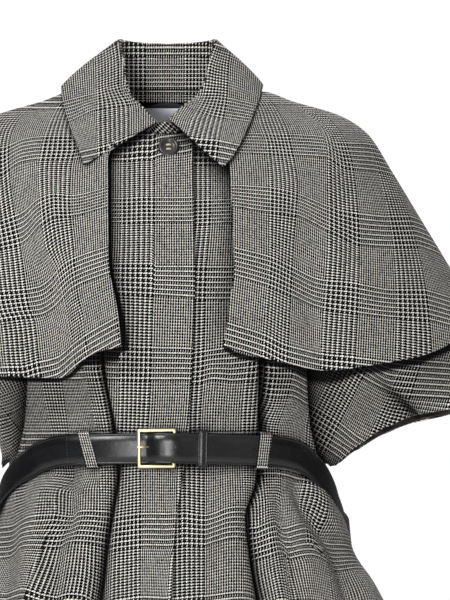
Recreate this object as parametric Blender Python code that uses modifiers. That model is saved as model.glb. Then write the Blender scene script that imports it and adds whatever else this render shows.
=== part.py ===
"""A belted cape jacket, filled out as it is worn, with nobody in it.

Metres, +Z up. The front faces -Y and the wearer's left is +X. The origin is at the middle of
the neck's base, where the wearer's shoulders hold the jacket up. Cloth panels are lofted
through the sections of the tables below and get their wall from Solidify, which builds
outwards from the inner face. Left and right are the wearer's.
"""

import math
from collections import namedtuple

import bpy
import numpy as np
from mathutils import Matrix, Vector

GARMENT = "belted_cape_jacket"

# Walls and the clearance between neighbouring pieces.
CLOTH = 0.002
THIN_CLOTH = 0.0012
GAP = 0.0003
CREASE_GAP = 0.0034  # at the armhole, where two walls meet in a valley

# Buttoned front.
OVERLAP_LIFT = CLOTH + 2 * GAP  # how far the right front rides over the left
UNDERLAP_X = -0.014
LIFT_START_X = -0.046
LIFT_END_X = -0.024
BUTTON_X = 0.0016
BUTTON_Z = -0.049
BUTTON_RADIUS = 0.0108
BUTTON_THICK = 0.0042

# Belt and buckle. OUT is measured from the cloth's smooth outer face.
BELT_HEIGHT = 0.032
BELT_THICK = 0.0025
BELT_OUT = 0.0030  # inner face, at the front
BELT_SIDE_OUT = 0.0028  # inner face, at the sides and back
BAR_RADIUS = 0.0017
BUCKLE_LEFT_X = -0.0283
BUCKLE_BAR_X = 0.0072
BUCKLE_HEIGHT = 0.0378  # between bar centres
PRONG_RADIUS = 0.0012
HOLE_RADIUS = 0.0017
HOLE_SPACING = 0.0263
PRONG_HOLE_X = -0.0185
TAIL_END_X = 0.099
KEEPER_X = 0.0360
KEEPER_WIDTH = 0.0095
KEEPER_THICK = 0.0012
LOOP_WIDTH = 0.0118
LOOP_THICK = 0.0015

SECTION_POWER = 2.15  # 2 is an ellipse, more is squarer
DIP_POWER = 1.5  # how quickly a section dips from side to front

Section = namedtuple("Section", "half front back side_z front_z back_z")

# The body from neckline to hem, each row a closed section round the figure.
BODY = [
    Section(half=0.066, front=0.058, back=0.058, side_z=-0.006, front_z=-0.0385, back_z=-0.0020),
    Section(half=0.128, front=0.088, back=0.082, side_z=-0.018, front_z=-0.066, back_z=-0.024),
    Section(half=0.194, front=0.110, back=0.099, side_z=-0.043, front_z=-0.110, back_z=-0.070),
    Section(half=0.190, front=0.122, back=0.106, side_z=-0.120, front_z=-0.165, back_z=-0.140),
    Section(half=0.183, front=0.124, back=0.105, side_z=-0.210, front_z=-0.225, back_z=-0.220),
    Section(half=0.175, front=0.116, back=0.101, side_z=-0.290, front_z=-0.290, back_z=-0.290),
    Section(half=0.1665, front=0.107, back=0.095, side_z=-0.345, front_z=-0.345, back_z=-0.345),
    Section(half=0.1645, front=0.104, back=0.093, side_z=-0.370, front_z=-0.370, back_z=-0.370),
    Section(half=0.1665, front=0.106, back=0.095, side_z=-0.392, front_z=-0.392, back_z=-0.392),
    Section(half=0.1755, front=0.115, back=0.104, side_z=-0.420, front_z=-0.420, back_z=-0.420),
    Section(half=0.1870, front=0.128, back=0.118, side_z=-0.465, front_z=-0.465, back_z=-0.465),
    Section(half=0.2000, front=0.138, back=0.129, side_z=-0.495, front_z=-0.495, back_z=-0.495),
    Section(half=0.2240, front=0.152, back=0.144, side_z=-0.527, front_z=-0.527, back_z=-0.527),
    Section(half=0.2480, front=0.165, back=0.158, side_z=-0.565, front_z=-0.565, back_z=-0.565),
    Section(half=0.2700, front=0.178, back=0.172, side_z=-0.614, front_z=-0.614, back_z=-0.614),
]
SHOULDER = 2.0  # the BODY row that ends the shoulder seam
WAIST = 7.55  # the BODY row where the armhole ends and the side seam starts

# The capelet from neckline to hem.
CAPE = [
    Section(half=0.073, front=0.067, back=0.066, side_z=0.0050, front_z=-0.032, back_z=0.0020),
    Section(half=0.100, front=0.086, back=0.082, side_z=0.0085, front_z=-0.046, back_z=-0.008),
    Section(half=0.134, front=0.103, back=0.096, side_z=-0.0025, front_z=-0.062, back_z=-0.026),
    Section(half=0.182, front=0.121, back=0.110, side_z=-0.0170, front_z=-0.090, back_z=-0.055),
    Section(half=0.2095, front=0.133, back=0.119, side_z=-0.0350, front_z=-0.125, back_z=-0.095),
    Section(half=0.2375, front=0.141, back=0.127, side_z=-0.0780, front_z=-0.170, back_z=-0.150),
    Section(half=0.2665, front=0.146, back=0.134, side_z=-0.1260, front_z=-0.208, back_z=-0.200),
    Section(half=0.2955, front=0.150, back=0.141, side_z=-0.1740, front_z=-0.242, back_z=-0.245),
    Section(half=0.3245, front=0.154, back=0.148, side_z=-0.2230, front_z=-0.275, back_z=-0.290),
    Section(half=0.3500, front=0.158, back=0.154, side_z=-0.2650, front_z=-0.305, back_z=-0.330),
]

Mark = namedtuple("Mark", "x z")

# Lines in the front view, top to bottom, that seams, edges and folds follow.
PLACKET_EDGE = [
    Mark(0.0262, -0.030), Mark(0.0288, -0.190), Mark(0.0252, -0.294), Mark(0.0226, -0.344),
    Mark(0.0178, -0.385), Mark(0.0105, -0.434), Mark(0.0075, -0.470), Mark(0.0010, -0.614),
]
PLEAT_RIGHT = [
    Mark(-0.068, -0.10), Mark(-0.069, -0.27), Mark(-0.056, -0.35), Mark(-0.0515, -0.386),
    Mark(-0.0567, -0.42), Mark(-0.065, -0.462), Mark(-0.0735, -0.525), Mark(-0.084, -0.614),
]
PLEAT_LEFT = [
    Mark(0.102, -0.10), Mark(0.1028, -0.27), Mark(0.1010, -0.35), Mark(0.0983, -0.395),
    Mark(0.0872, -0.434), Mark(0.0924, -0.474), Mark(0.1019, -0.524), Mark(0.117, -0.614),
]
CAPE_EDGE_RIGHT = [
    Mark(-0.047, -0.030), Mark(-0.0615, -0.063), Mark(-0.0614, -0.158), Mark(-0.0600, -0.179),
    Mark(-0.0535, -0.210), Mark(-0.0488, -0.247), Mark(-0.0480, -0.262),
]
CAPE_EDGE_LEFT = [
    Mark(0.050, -0.032), Mark(0.0651, -0.068), Mark(0.0693, -0.147), Mark(0.0704, -0.179),
    Mark(0.0660, -0.210), Mark(0.0620, -0.242), Mark(0.0578, -0.262),
]

# Soft troughs down the capelet.
TROUGH_RIGHT = [Mark(-0.163, -0.060), Mark(-0.140, -0.140), Mark(-0.112, -0.262)]
TROUGH_LEFT = [Mark(0.158, -0.040), Mark(0.150, -0.150), Mark(0.163, -0.280)]
TROUGH_BACK_X = 0.11
TROUGH_WIDTH = 0.022
TROUGH_DEPTH = 0.008

# Hem of the capelet against the distance from the middle.
CAPE_HEM_RIGHT = [
    Mark(0.048, -0.2595), Mark(0.070, -0.2646), Mark(0.089, -0.2750), Mark(0.100, -0.2867),
    Mark(0.115, -0.2910), Mark(0.154, -0.2910), Mark(0.215, -0.2850), Mark(0.270, -0.2680),
    Mark(0.300, -0.2540), Mark(0.3245, -0.2230),
]
CAPE_HEM_LEFT = [
    Mark(0.058, -0.2583), Mark(0.075, -0.2670), Mark(0.098, -0.2710), Mark(0.140, -0.2800),
    Mark(0.170, -0.2830), Mark(0.224, -0.2770), Mark(0.266, -0.2690), Mark(0.297, -0.2560),
    Mark(0.3245, -0.2230),
]
CAPE_HEM_BACK = [
    Mark(0.000, -0.2850), Mark(0.150, -0.2880), Mark(0.215, -0.2850), Mark(0.270, -0.2680),
    Mark(0.300, -0.2540), Mark(0.3245, -0.2230),
]

# Armhole: how far round from the side each row of the front's seam lies.
ArmholeRow = namedtuple("ArmholeRow", "row degrees")
ARMHOLE = [
    ArmholeRow(SHOULDER, 0.0), ArmholeRow(2.1, 13.0), ArmholeRow(2.6, 33.0), ArmholeRow(3.0, 39.0),
    ArmholeRow(4.0, 38.0), ArmholeRow(5.0, 29.0), ArmholeRow(6.0, 20.0), ArmholeRow(7.0, 12.5),
    ArmholeRow(WAIST, 9.0),
]

# Sleeve mouths, from the outer end in to the waist, with the half depth of the opening.
MouthRow = namedtuple("MouthRow", "x z depth")
MOUTH_LEFT = [
    MouthRow(0.3560, -0.2800, 0.000), MouthRow(0.3530, -0.2930, 0.022), MouthRow(0.3420, -0.3060, 0.038),
    MouthRow(0.3200, -0.3180, 0.050), MouthRow(0.2950, -0.3250, 0.056), MouthRow(0.2700, -0.3290, 0.057),
    MouthRow(0.2480, -0.3360, 0.055), MouthRow(0.2300, -0.3440, 0.051), MouthRow(0.2150, -0.3530, 0.045),
    MouthRow(0.2000, -0.3640, 0.037), MouthRow(0.1860, -0.3760, 0.026), MouthRow(0.1785, -0.3830, 0.012),
]
MOUTH_RIGHT = [
    MouthRow(-0.3520, -0.2860, 0.000), MouthRow(-0.3480, -0.3000, 0.022), MouthRow(-0.3360, -0.3120, 0.038),
    MouthRow(-0.3140, -0.3210, 0.050), MouthRow(-0.2890, -0.3250, 0.056), MouthRow(-0.2640, -0.3270, 0.057),
    MouthRow(-0.2420, -0.3290, 0.055), MouthRow(-0.2220, -0.3320, 0.051), MouthRow(-0.2040, -0.3370, 0.045),
    MouthRow(-0.1880, -0.3440, 0.037), MouthRow(-0.1780, -0.3560, 0.026), MouthRow(-0.1745, -0.3720, 0.012),
]
SleeveEnd = namedtuple("SleeveEnd", "side table underarm")
SLEEVE_LEFT = SleeveEnd(1.0, MOUTH_LEFT, (0.1780, 0.0, -0.3870))
SLEEVE_RIGHT = SleeveEnd(-1.0, MOUTH_RIGHT, (-0.1745, 0.0, -0.3860))
SLEEVE_BULGE = 0.012
SLEEVE_FOLD_AT = 0.47  # share of the way from the outer end in to the waist
SLEEVE_FOLD_WIDTH = 0.06
SLEEVE_FOLD_DEPTH = 0.012
SLEEVE_TOP_PULL = 0.016
BACK_MOUTH_DROP = 0.0045
LINING_REACH = 0.85  # share of the sleeve's last stretch that the lining covers

# Collar: the crest where it rolls over and the outer edge of its fall, from the back to the
# front end. psi is the angle from the back; x is measured outwards.
CollarRow = namedtuple("CollarRow", "psi crest_x crest_y crest_z edge_x edge_y edge_z")
COLLAR_RIGHT = [
    CollarRow(0, 0.000, 0.062, 0.0590, 0.000, 0.116, -0.0120),
    CollarRow(30, 0.034, 0.055, 0.0605, 0.062, 0.101, -0.0080),
    CollarRow(55, 0.049, 0.040, 0.0630, 0.099, 0.060, 0.0020),
    CollarRow(75, 0.050, 0.020, 0.0590, 0.1110, 0.018, 0.0135),
    CollarRow(95, 0.0455, -0.003, 0.0430, 0.1105, -0.022, 0.0045),
    CollarRow(115, 0.0430, -0.024, 0.0230, 0.1060, -0.055, -0.0155),
    CollarRow(135, 0.0385, -0.041, 0.0060, 0.0990, -0.080, -0.0360),
    CollarRow(152, 0.0270, -0.052, -0.0060, 0.0925, -0.097, -0.0530),
    CollarRow(168, 0.0105, -0.060, -0.0240, 0.0870, -0.108, -0.0680),
]
COLLAR_LEFT = [
    CollarRow(0, 0.000, 0.062, 0.0590, 0.000, 0.116, -0.0120),
    CollarRow(30, 0.034, 0.055, 0.0605, 0.058, 0.101, -0.0080),
    CollarRow(55, 0.049, 0.040, 0.0630, 0.093, 0.060, 0.0040),
    CollarRow(75, 0.0485, 0.020, 0.0590, 0.1000, 0.018, 0.0155),
    CollarRow(95, 0.0440, -0.003, 0.0430, 0.0975, -0.022, 0.0045),
    CollarRow(115, 0.0390, -0.024, 0.0210, 0.0905, -0.055, -0.0150),
    CollarRow(135, 0.0300, -0.041, 0.0050, 0.0800, -0.080, -0.0400),
    CollarRow(152, 0.0160, -0.052, -0.0060, 0.0690, -0.100, -0.0600),
    CollarRow(166, 0.0010, -0.060, -0.0200, 0.0590, -0.109, -0.0710),
]
BAND_HEIGHT = 0.0125
BAND_INSET = 0.004  # how far the band leans in over its height
BAND_SETBACK = 0.0016
COLLAR_STAND_OFF = 0.006  # how far the fall keeps from the stand at the crest
COLLAR_CLEAR = 0.0030  # between the fall's edge and the capelet under it
COLLAR_RESTS_FROM = 86.0  # the angle past which the fall's edge lies on the capelet

# Belt centre line, round from the front. Angles are from the front on the named side.
BeltRow = namedtuple("BeltRow", "degrees right_z left_z")
BELT_LINE = [
    BeltRow(0, -0.3655, -0.3655), BeltRow(36, -0.3680, -0.3685), BeltRow(50, -0.3750, -0.3730),
    BeltRow(58, -0.3840, -0.3790), BeltRow(66, -0.3920, -0.3900), BeltRow(74, -0.4040, -0.4060),
    BeltRow(82, -0.4190, -0.4270), BeltRow(90, -0.4320, -0.4480), BeltRow(110, -0.4480, -0.4620),
    BeltRow(140, -0.4600, -0.4660), BeltRow(180, -0.4660, -0.4660),
]

LABEL_WIDTH = 0.048
LABEL_X = -0.006
LABEL_TOP_Z = -0.0072
LABEL_LOW_Z = -0.0225
NECK_LINING_HALF = 0.048
NECK_LINING_TOP_Z = -0.0030
NECK_LINING_LOW_Z = -0.0320
LINING_STAND_OFF = 0.0010
SLEEVE_LINING_OFF = 0.0013


# ---------------------------------------------------------------- curves and surfaces


def smooth(keys, values, at):
    """A cubic through the keys that never overshoots them, level outside their range."""
    keys = np.asarray(keys, float)
    values = np.asarray(values, float)
    at = np.clip(np.asarray(at, float), keys[0], keys[-1])
    steps = np.diff(keys)
    slopes = np.diff(values) / steps
    tangents = np.zeros_like(values)
    tangents[0], tangents[-1] = slopes[0], slopes[-1]
    before, after = slopes[:-1], slopes[1:]
    agree = before * after > 0
    safe = np.where(agree, before + after, 1.0)
    tangents[1:-1] = np.where(agree, 2 * before * after / safe, 0.0)
    index = np.clip(np.searchsorted(keys, at, side="right") - 1, 0, len(steps) - 1)
    u = (at - keys[index]) / steps[index]
    step = steps[index]
    return (
        values[index] * (1 + 2 * u) * (1 - u) ** 2
        + tangents[index] * step * u * (1 - u) ** 2
        + values[index + 1] * u * u * (3 - 2 * u)
        + tangents[index + 1] * step * u * u * (u - 1)
    )


def along(marks, z):
    """x of a line of marks, given top to bottom, at the heights z."""
    return smooth([-mark.z for mark in marks], [mark.x for mark in marks], -np.asarray(z, float))


def ramp(value, start, end):
    """0 before start, 1 after end, and smooth between."""
    share = np.clip((np.asarray(value, float) - start) / (end - start), 0.0, 1.0)
    return share * share * (3 - 2 * share)


def section_point(table, row, phi):
    """The point of a table's loft at a row and an angle: 0 at the left side, -90 degrees in front."""
    row, phi = np.broadcast_arrays(np.asarray(row, float), np.asarray(phi, float))
    keys = np.arange(len(table))
    column = {name: smooth(keys, [getattr(s, name) for s in table], row) for name in Section._fields}
    cosine, sine = np.cos(phi), np.sin(phi)
    shape = 2 / SECTION_POWER
    x = column["half"] * np.sign(cosine) * np.abs(cosine) ** shape
    in_front = sine < 0
    y = np.where(in_front, column["front"], column["back"]) * np.sign(sine) * np.abs(sine) ** shape
    far_z = np.where(in_front, column["front_z"], column["back_z"])
    z = column["side_z"] + (far_z - column["side_z"]) * np.abs(sine) ** DIP_POWER
    return np.stack([x, y, z], axis=-1)


def outward(table, row, phi):
    """The unit normal of a table's loft, pointing away from the figure."""
    step = 1e-3
    down = section_point(table, row + step, phi) - section_point(table, row - step, phi)
    across = section_point(table, row, phi + step) - section_point(table, row, phi - step)
    normal = np.cross(down, across)
    return normal / np.linalg.norm(normal, axis=-1, keepdims=True)


def phi_at(table, row, x):
    """The angle in front at which a row of the loft reaches x."""
    half = smooth(np.arange(len(table)), [s.half for s in table], row)
    share = np.clip(np.abs(x) / half, 0.0, 1.0) ** (SECTION_POWER / 2)
    angle = np.arccos(share)
    return np.where(np.asarray(x) >= 0, -angle, angle - math.pi)


def solve(low, high, is_past):
    """The value between low and high at which is_past turns true, for each element."""
    low, high = np.array(low, float), np.array(high, float)
    for _ in range(40):
        middle = (low + high) / 2
        past = is_past(middle)
        high = np.where(past, middle, high)
        low = np.where(past, low, middle)
    return (low + high) / 2


def row_at(table, phi, z):
    """The row of the loft whose point at angle phi has the height z."""
    phi, z = np.broadcast_arrays(np.asarray(phi, float), np.asarray(z, float))
    last = len(table) - 1.0
    return solve(
        np.zeros(phi.shape),
        np.full(phi.shape, last),
        lambda row: section_point(table, row, phi)[..., 2] < z,
    )


def front_place(table, x, z):
    """Row and angle of the loft's point that shows at (x, z) from the front."""
    x, z = np.broadcast_arrays(np.asarray(x, float), np.asarray(z, float))
    half = [s.half for s in table]
    keys = np.arange(len(table))
    first = solve(np.zeros(x.shape), np.full(x.shape, 3.0), lambda r: smooth(keys, half, r) > np.abs(x))
    row = solve(
        np.where(np.abs(x) < half[0], 0.0, first),
        np.full(x.shape, len(table) - 1.0),
        lambda r: section_point(table, r, phi_at(table, r, x))[..., 2] < z,
    )
    return row, phi_at(table, row, x)


def groove(distance, width):
    """A smooth valley of depth 1 and the given half width."""
    return np.exp(-((distance / width) ** 2))


# ---------------------------------------------------------------- Blender helpers


def clear_scene():
    for obj in list(bpy.data.objects):
        bpy.data.objects.remove(obj, do_unlink=True)


def collection_for(name, hidden=False):
    collection = bpy.data.collections.new(name)
    bpy.context.scene.collection.children.link(collection)
    collection.hide_render = hidden
    return collection


def material(name, colour, roughness, metallic=0.0):
    made = bpy.data.materials.new(name)
    made.use_nodes = True
    shader = made.node_tree.nodes["Principled BSDF"]
    shader.inputs["Base Color"].default_value = (*colour, 1.0)
    shader.inputs["Roughness"].default_value = roughness
    shader.inputs["Metallic"].default_value = metallic
    return made


def mesh_object(name, points, faces, finish, collection):
    mesh = bpy.data.meshes.new(name)
    mesh.from_pydata([tuple(map(float, point)) for point in points], [], faces)
    mesh.materials.append(finish)
    mesh.shade_smooth()
    obj = bpy.data.objects.new(name, mesh)
    collection.objects.link(obj)
    return obj


def sheet(name, grid, thickness, finish, collection, closed=False, flip=False, offset=1.0):
    """A wall over a grid of points (rows, columns, xyz), built out along the grid's normal."""
    rows, columns = grid.shape[:2]
    faces = []
    for i in range(rows - 1):
        for j in range(columns if closed else columns - 1):
            after = (j + 1) % columns
            face = [i * columns + j, (i + 1) * columns + j, (i + 1) * columns + after, i * columns + after]
            faces.append(face[::-1] if flip else face)
    obj = mesh_object(name, grid.reshape(-1, 3), faces, finish, collection)
    wall = obj.modifiers.new("Wall", "SOLIDIFY")
    wall.thickness = thickness
    wall.offset = offset
    wall.use_even_offset = False
    return obj


def rod(name, path, radius, finish, collection, closed=False, sides=3):
    """A round rod along a path of points."""
    curve = bpy.data.curves.new(name, "CURVE")
    curve.dimensions = "3D"
    curve.bevel_depth = radius
    curve.bevel_resolution = sides
    curve.use_fill_caps = not closed
    spline = curve.splines.new("POLY")
    spline.points.add(len(path) - 1)
    for point, place in zip(spline.points, path):
        point.co = (*map(float, place), 1.0)
    spline.use_cyclic_u = closed
    curve.materials.append(finish)
    obj = bpy.data.objects.new(name, curve)
    collection.objects.link(obj)
    return obj


def cut(obj, cutter):
    """Cuts one object from another with a Boolean modifier."""
    cutter.hide_render = True
    cutter.display_type = "WIRE"
    bite = obj.modifiers.new("Cut " + cutter.name, "BOOLEAN")
    bite.operation = "DIFFERENCE"
    bite.solver = "EXACT"
    bite.object = cutter


def cutter_box(name, frame, size, helpers):
    """A box of the given size on a 4 x 4 frame."""
    bpy.ops.mesh.primitive_cube_add(size=1.0)
    obj = bpy.context.object
    obj.name = name
    obj.data.transform(Matrix.Diagonal((*size, 1.0)))
    obj.matrix_world = frame
    move_to(obj, helpers)
    return obj


def cutter_rod(name, frame, radius, length, helpers):
    """A round cutter along the local Z axis of a 4 x 4 frame."""
    bpy.ops.mesh.primitive_cylinder_add(vertices=12, radius=radius, depth=length)
    obj = bpy.context.object
    obj.name = name
    obj.matrix_world = frame
    move_to(obj, helpers)
    return obj


def move_to(obj, collection):
    for owner in list(obj.users_collection):
        owner.objects.unlink(obj)
    collection.objects.link(obj)


def frame_matrix(place, x_axis, y_axis, z_axis):
    """The 4 x 4 matrix of a frame at a place."""
    rows = np.eye(4)
    rows[:3, 0], rows[:3, 1], rows[:3, 2], rows[:3, 3] = x_axis, y_axis, z_axis, place
    return Matrix(rows.tolist())


# ---------------------------------------------------------------- body panels

ARMHOLE_ROWS = [2.2, 2.35, 2.6, 3, 3.5, 4, 4.5, 5, 5.5, 6, 6.5, 7]
BODY_ROWS = [0, 0.5, 1, 1.5, SHOULDER, 2.1, *ARMHOLE_ROWS, 7.46, WAIST, 8, 9, 10, 11, 12, 13, 14]
PLEAT_STEPS = (-1.7, -0.85, 0.0, 0.85, 1.7)  # columns across a pleat, in half widths
SEAM_ANGLE = 0.0015  # half the gap of a shoulder or side seam
BACK_PLEAT_X = 0.075


def pleat_depth(z):
    """How far a pleat sinks in at height z: deepest at cape and hem, shallow under the belt."""
    return smooth([0.10, 0.20, 0.28, 0.36, 0.42, 0.50, 0.614], [0, 0.004, 0.009, 0.006, 0.011, 0.02, 0.028], -z)


def pleat_width(z):
    return smooth([0.28, 0.38, 0.50, 0.614], [0.0075, 0.008, 0.013, 0.019], -z)


def pleat_lines(z):
    """x of the two front pleats, the right one first."""
    return along(PLEAT_RIGHT, z), along(PLEAT_LEFT, z)


def body_point(row, phi, lift=0.0):
    """Inner face of the body's cloth, with its pleats, moved out by lift."""
    place = section_point(BODY, row, phi)
    normal = outward(BODY, row, phi)
    x, y, z = place[..., 0], place[..., 1], place[..., 2]
    width = pleat_width(z)
    right, left = pleat_lines(z)
    front = groove(x - right, width) + groove(x - left, width)
    back = groove(x - BACK_PLEAT_X, width) + groove(x + BACK_PLEAT_X, width)
    sink = pleat_depth(z) * np.where(y < 0, front, back)
    return place + normal * (lift - sink)[..., None]


def armhole_angle(row):
    return np.radians(smooth([a.row for a in ARMHOLE], [a.degrees for a in ARMHOLE], row))


def outer_angle(row):
    """How far from the side the front and back panels end at a row."""
    inside = (row > SHOULDER) & (row < WAIST)
    return np.where(inside, np.maximum(armhole_angle(row), SEAM_ANGLE), SEAM_ANGLE)


def blend_columns(keys, counts):
    """Values through the keys, with a number of equal steps between each two."""
    steps = [np.linspace(a, b, n + 1)[:-1] for a, b, n in zip(keys[:-1], keys[1:], counts)]
    return np.concatenate([*steps, keys[-1:]])


def front_angles(row, side, edge_x, counts):
    """Angles of a front panel's columns at a row, mirrored so that side is +X."""
    row = float(row)
    z = float(section_point(BODY, row, -math.pi / 2)[2])
    pleat = side * float(pleat_lines(z)[0 if side < 0 else 1])
    width = float(pleat_width(z))
    spots = np.array([edge_x] + [pleat + step * width for step in PLEAT_STEPS])
    keys = np.append(phi_at(BODY, row, spots), -outer_angle(row))
    fitted = blend_columns(keys, counts)
    even = np.linspace(keys[0], keys[-1], len(fitted))
    share = float(ramp(row, 2.0, 3.5))
    return even * (1 - share) + fitted * share


FRONT_COUNTS = (4, 1, 1, 1, 1, 5)


def front_grid(side):
    rows = []
    for row in BODY_ROWS:
        z = float(section_point(BODY, row, -math.pi / 2)[2])
        edge = -float(along(PLACKET_EDGE, z)) if side < 0 else UNDERLAP_X
        phi = front_angles(row, side, edge, FRONT_COUNTS)
        phi = phi if side > 0 else -math.pi - phi
        lift = np.zeros_like(phi)
        if side < 0:
            x = section_point(BODY, row, phi)[:, 0]
            lift = OVERLAP_LIFT * ramp(x, LIFT_START_X, LIFT_END_X)
        rows.append(body_point(row, phi, lift))
    return np.array(rows)


def back_angles(row):
    z = float(section_point(BODY, row, math.pi / 2)[2])
    width = float(pleat_width(z))
    spots = np.array([BACK_PLEAT_X - step * width for step in PLEAT_STEPS] + [0.0])
    keys = np.append(outer_angle(row), -phi_at(BODY, row, spots))
    fitted = blend_columns(keys, FRONT_COUNTS[::-1])
    even = np.linspace(keys[0], keys[-1], len(fitted))
    share = float(ramp(row, 2.0, 3.5))
    half = even * (1 - share) + fitted * share
    return np.concatenate([half, (math.pi - half[:-1])[::-1]])


def back_grid():
    return np.array([body_point(row, back_angles(row)) for row in BODY_ROWS])


# ---------------------------------------------------------------- sleeves

SLEEVE_ROWS = 8
UNDERARM_ROW = 7.27  # where the sleeve's first ring closes, above the armhole's end
REACH_AT_ARMHOLE = 0.11  # turns a gap on the cloth there into an angle


def armhole_loop(side):
    """The sleeve's first ring, just inside the body's armhole: top, front, underarm, back."""
    rows = np.array([*ARMHOLE_ROWS, UNDERARM_ROW], float)
    angle = armhole_angle(rows) - CREASE_GAP / REACH_AT_ARMHOLE
    front = section_point(BODY, rows, -angle)
    back = section_point(BODY, rows, angle)
    top = section_point(BODY, SHOULDER + 0.16, 0.0)[None]
    bottom = section_point(BODY, rows[-1], 0.0)[None]
    loop = np.concatenate([top, front, bottom, back[::-1]])
    return loop * (side, 1, 1)


def mouth_loop(end, count):
    """The sleeve's last ring: outer end, front edge in to the waist, underarm, back edge."""
    table = end.table
    keys = np.arange(len(table))
    at = np.linspace(0.35, len(table) - 1, count)
    x = smooth(keys, [row.x * end.side for row in table], at) * end.side
    z = smooth(keys, [row.z for row in table], at)
    depth = smooth(keys, [row.depth for row in table], at)
    front = np.stack([x, -depth, z], axis=-1)
    drop = BACK_MOUTH_DROP * np.sin(np.pi * np.linspace(0, 1, count))
    back = np.stack([x, depth, z - drop], axis=-1)
    top = np.array([[table[0].x, 0.0, table[0].z]])
    bottom = np.array([end.underarm])
    return np.concatenate([top, front, bottom, back[::-1]])


def sleeve_grid(end, rows=SLEEVE_ROWS):
    """Inner face of a sleeve, from armhole to mouth."""
    start = armhole_loop(end.side)
    count = (len(start) - 2) // 2
    stop = mouth_loop(end, count)
    shares = np.linspace(0, 1, count + 2)
    fullness = np.concatenate([np.sin(np.pi * shares[:-1]), np.sin(np.pi * shares[1:])[::-1]])
    facing = np.concatenate([[0.0], -np.ones(count), [0.0], np.ones(count)])
    topness = np.concatenate([np.cos(np.pi * shares[:-1] / 2), np.cos(np.pi * shares[1:] / 2)[::-1]]) ** 2
    pull = np.stack(
        [
            end.side * SLEEVE_TOP_PULL * topness,
            facing * SLEEVE_BULGE * fullness,
            np.zeros_like(topness),
        ],
        axis=-1,
    )
    middle = (start + stop) / 2 + pull
    v = np.linspace(0, 1, rows + 1)[:, None, None]
    cloth = start * (1 - v) ** 2 + middle * 2 * v * (1 - v) + stop * v * v
    across = np.concatenate([shares[:-1], shares[1:][::-1]])
    sink = SLEEVE_FOLD_DEPTH * ramp(v[..., 0], 0.2, 1.0) * groove(across - SLEEVE_FOLD_AT, SLEEVE_FOLD_WIDTH)
    cloth[..., 1] -= facing * sink
    return cloth


def moved_in(grid, distance):
    """A grid of closed rows moved towards its inside along its own normals."""
    along_rows = np.gradient(grid, axis=0)
    around = np.roll(grid, -1, axis=1) - np.roll(grid, 1, axis=1)
    normal = np.cross(around, along_rows)
    normal = normal / np.linalg.norm(normal, axis=-1, keepdims=True)
    inside = grid.mean(axis=1, keepdims=True) - grid
    facing = np.sign((normal * inside).sum(axis=-1).mean())
    return grid + normal * facing * distance


def sleeve_lining_grid(end):
    """The lining just inside the mouth: the sleeve's own last stretch, moved in, short of the edge."""
    strip = sleeve_grid(end)[-3:]
    columns = strip.shape[1]
    from_underarm = np.abs(np.arange(columns) * 2 / columns - 1)
    distance = SLEEVE_LINING_OFF * (1 + 0.5 * groove(from_underarm, 0.15))
    strip = moved_in(strip, distance[None, :, None])
    strip[-1] = strip[-2] + (strip[-1] - strip[-2]) * LINING_REACH
    return strip


# ---------------------------------------------------------------- capelet

CAPE_ROWS = 13


def cape_point(row, phi, lift=0.0):
    """Inner face of the capelet, with its soft troughs, moved out by lift."""
    place = section_point(CAPE, row, phi)
    normal = outward(CAPE, row, phi)
    x, y, z = place[..., 0], place[..., 1], place[..., 2]
    front = groove(x - along(TROUGH_RIGHT, z), TROUGH_WIDTH) + groove(x - along(TROUGH_LEFT, z), TROUGH_WIDTH)
    back = groove(np.abs(x) - TROUGH_BACK_X, TROUGH_WIDTH)
    sink = TROUGH_DEPTH * ramp(-z, 0.04, 0.26) * np.where(y < 0, front, back)
    return place + normal * (lift - sink)[..., None]


def hem_row(phi, hem):
    """The row at which each column of the capelet reaches its hem."""
    keys = [mark.x for mark in hem]
    values = [mark.z for mark in hem]

    def is_past(row):
        place = section_point(CAPE, row, phi)
        return place[..., 2] < smooth(keys, values, np.abs(place[..., 0]))

    return solve(np.full(phi.shape, 3.0), np.full(phi.shape, len(CAPE) - 1.0), is_past)


def edge_angle(row, side, marks):
    """The angle of the capelet's front edge at a row."""

    def is_past(phi):
        place = section_point(CAPE, row, phi)
        return side * place[..., 0] > side * along(marks, place[..., 2])

    middle = np.full(np.shape(row), -math.pi / 2)
    outer = np.full(np.shape(row), -0.05 if side > 0 else -math.pi + 0.05)
    return solve(middle, outer, is_past)


def cape_front_grid(side, columns=13):
    marks = CAPE_EDGE_LEFT if side > 0 else CAPE_EDGE_RIGHT
    hem = CAPE_HEM_LEFT if side > 0 else CAPE_HEM_RIGHT
    seam = -SEAM_ANGLE if side > 0 else -math.pi + SEAM_ANGLE
    share = np.linspace(0, 1, columns + 1)
    down = np.linspace(0, 1, CAPE_ROWS + 1)
    start = float(edge_angle(np.array(8.0), side, marks))
    phi_hem = start + (seam - start) * share
    last = hem_row(phi_hem, hem)
    grid = []
    for share_down in down:
        row = last * share_down
        edge = float(edge_angle(np.array(row[0]), side, marks))
        phi = edge + (seam - edge) * share
        grid.append(cape_point(row, phi))
    return np.array(grid)


def cape_back_grid(columns=24):
    share = np.linspace(0, 1, columns + 1)
    phi = SEAM_ANGLE + (math.pi - 2 * SEAM_ANGLE) * share
    last = hem_row(phi, CAPE_HEM_BACK)
    return np.array([cape_point(last * down, phi) for down in np.linspace(0, 1, CAPE_ROWS + 1)])


# ---------------------------------------------------------------- collar

COLLAR_COLUMNS = 18  # each side of the back
STAND_STEPS = 3
FALL_SHARES = (0.05, 0.2, 0.4, 0.6, 0.8, 1.0)


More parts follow.
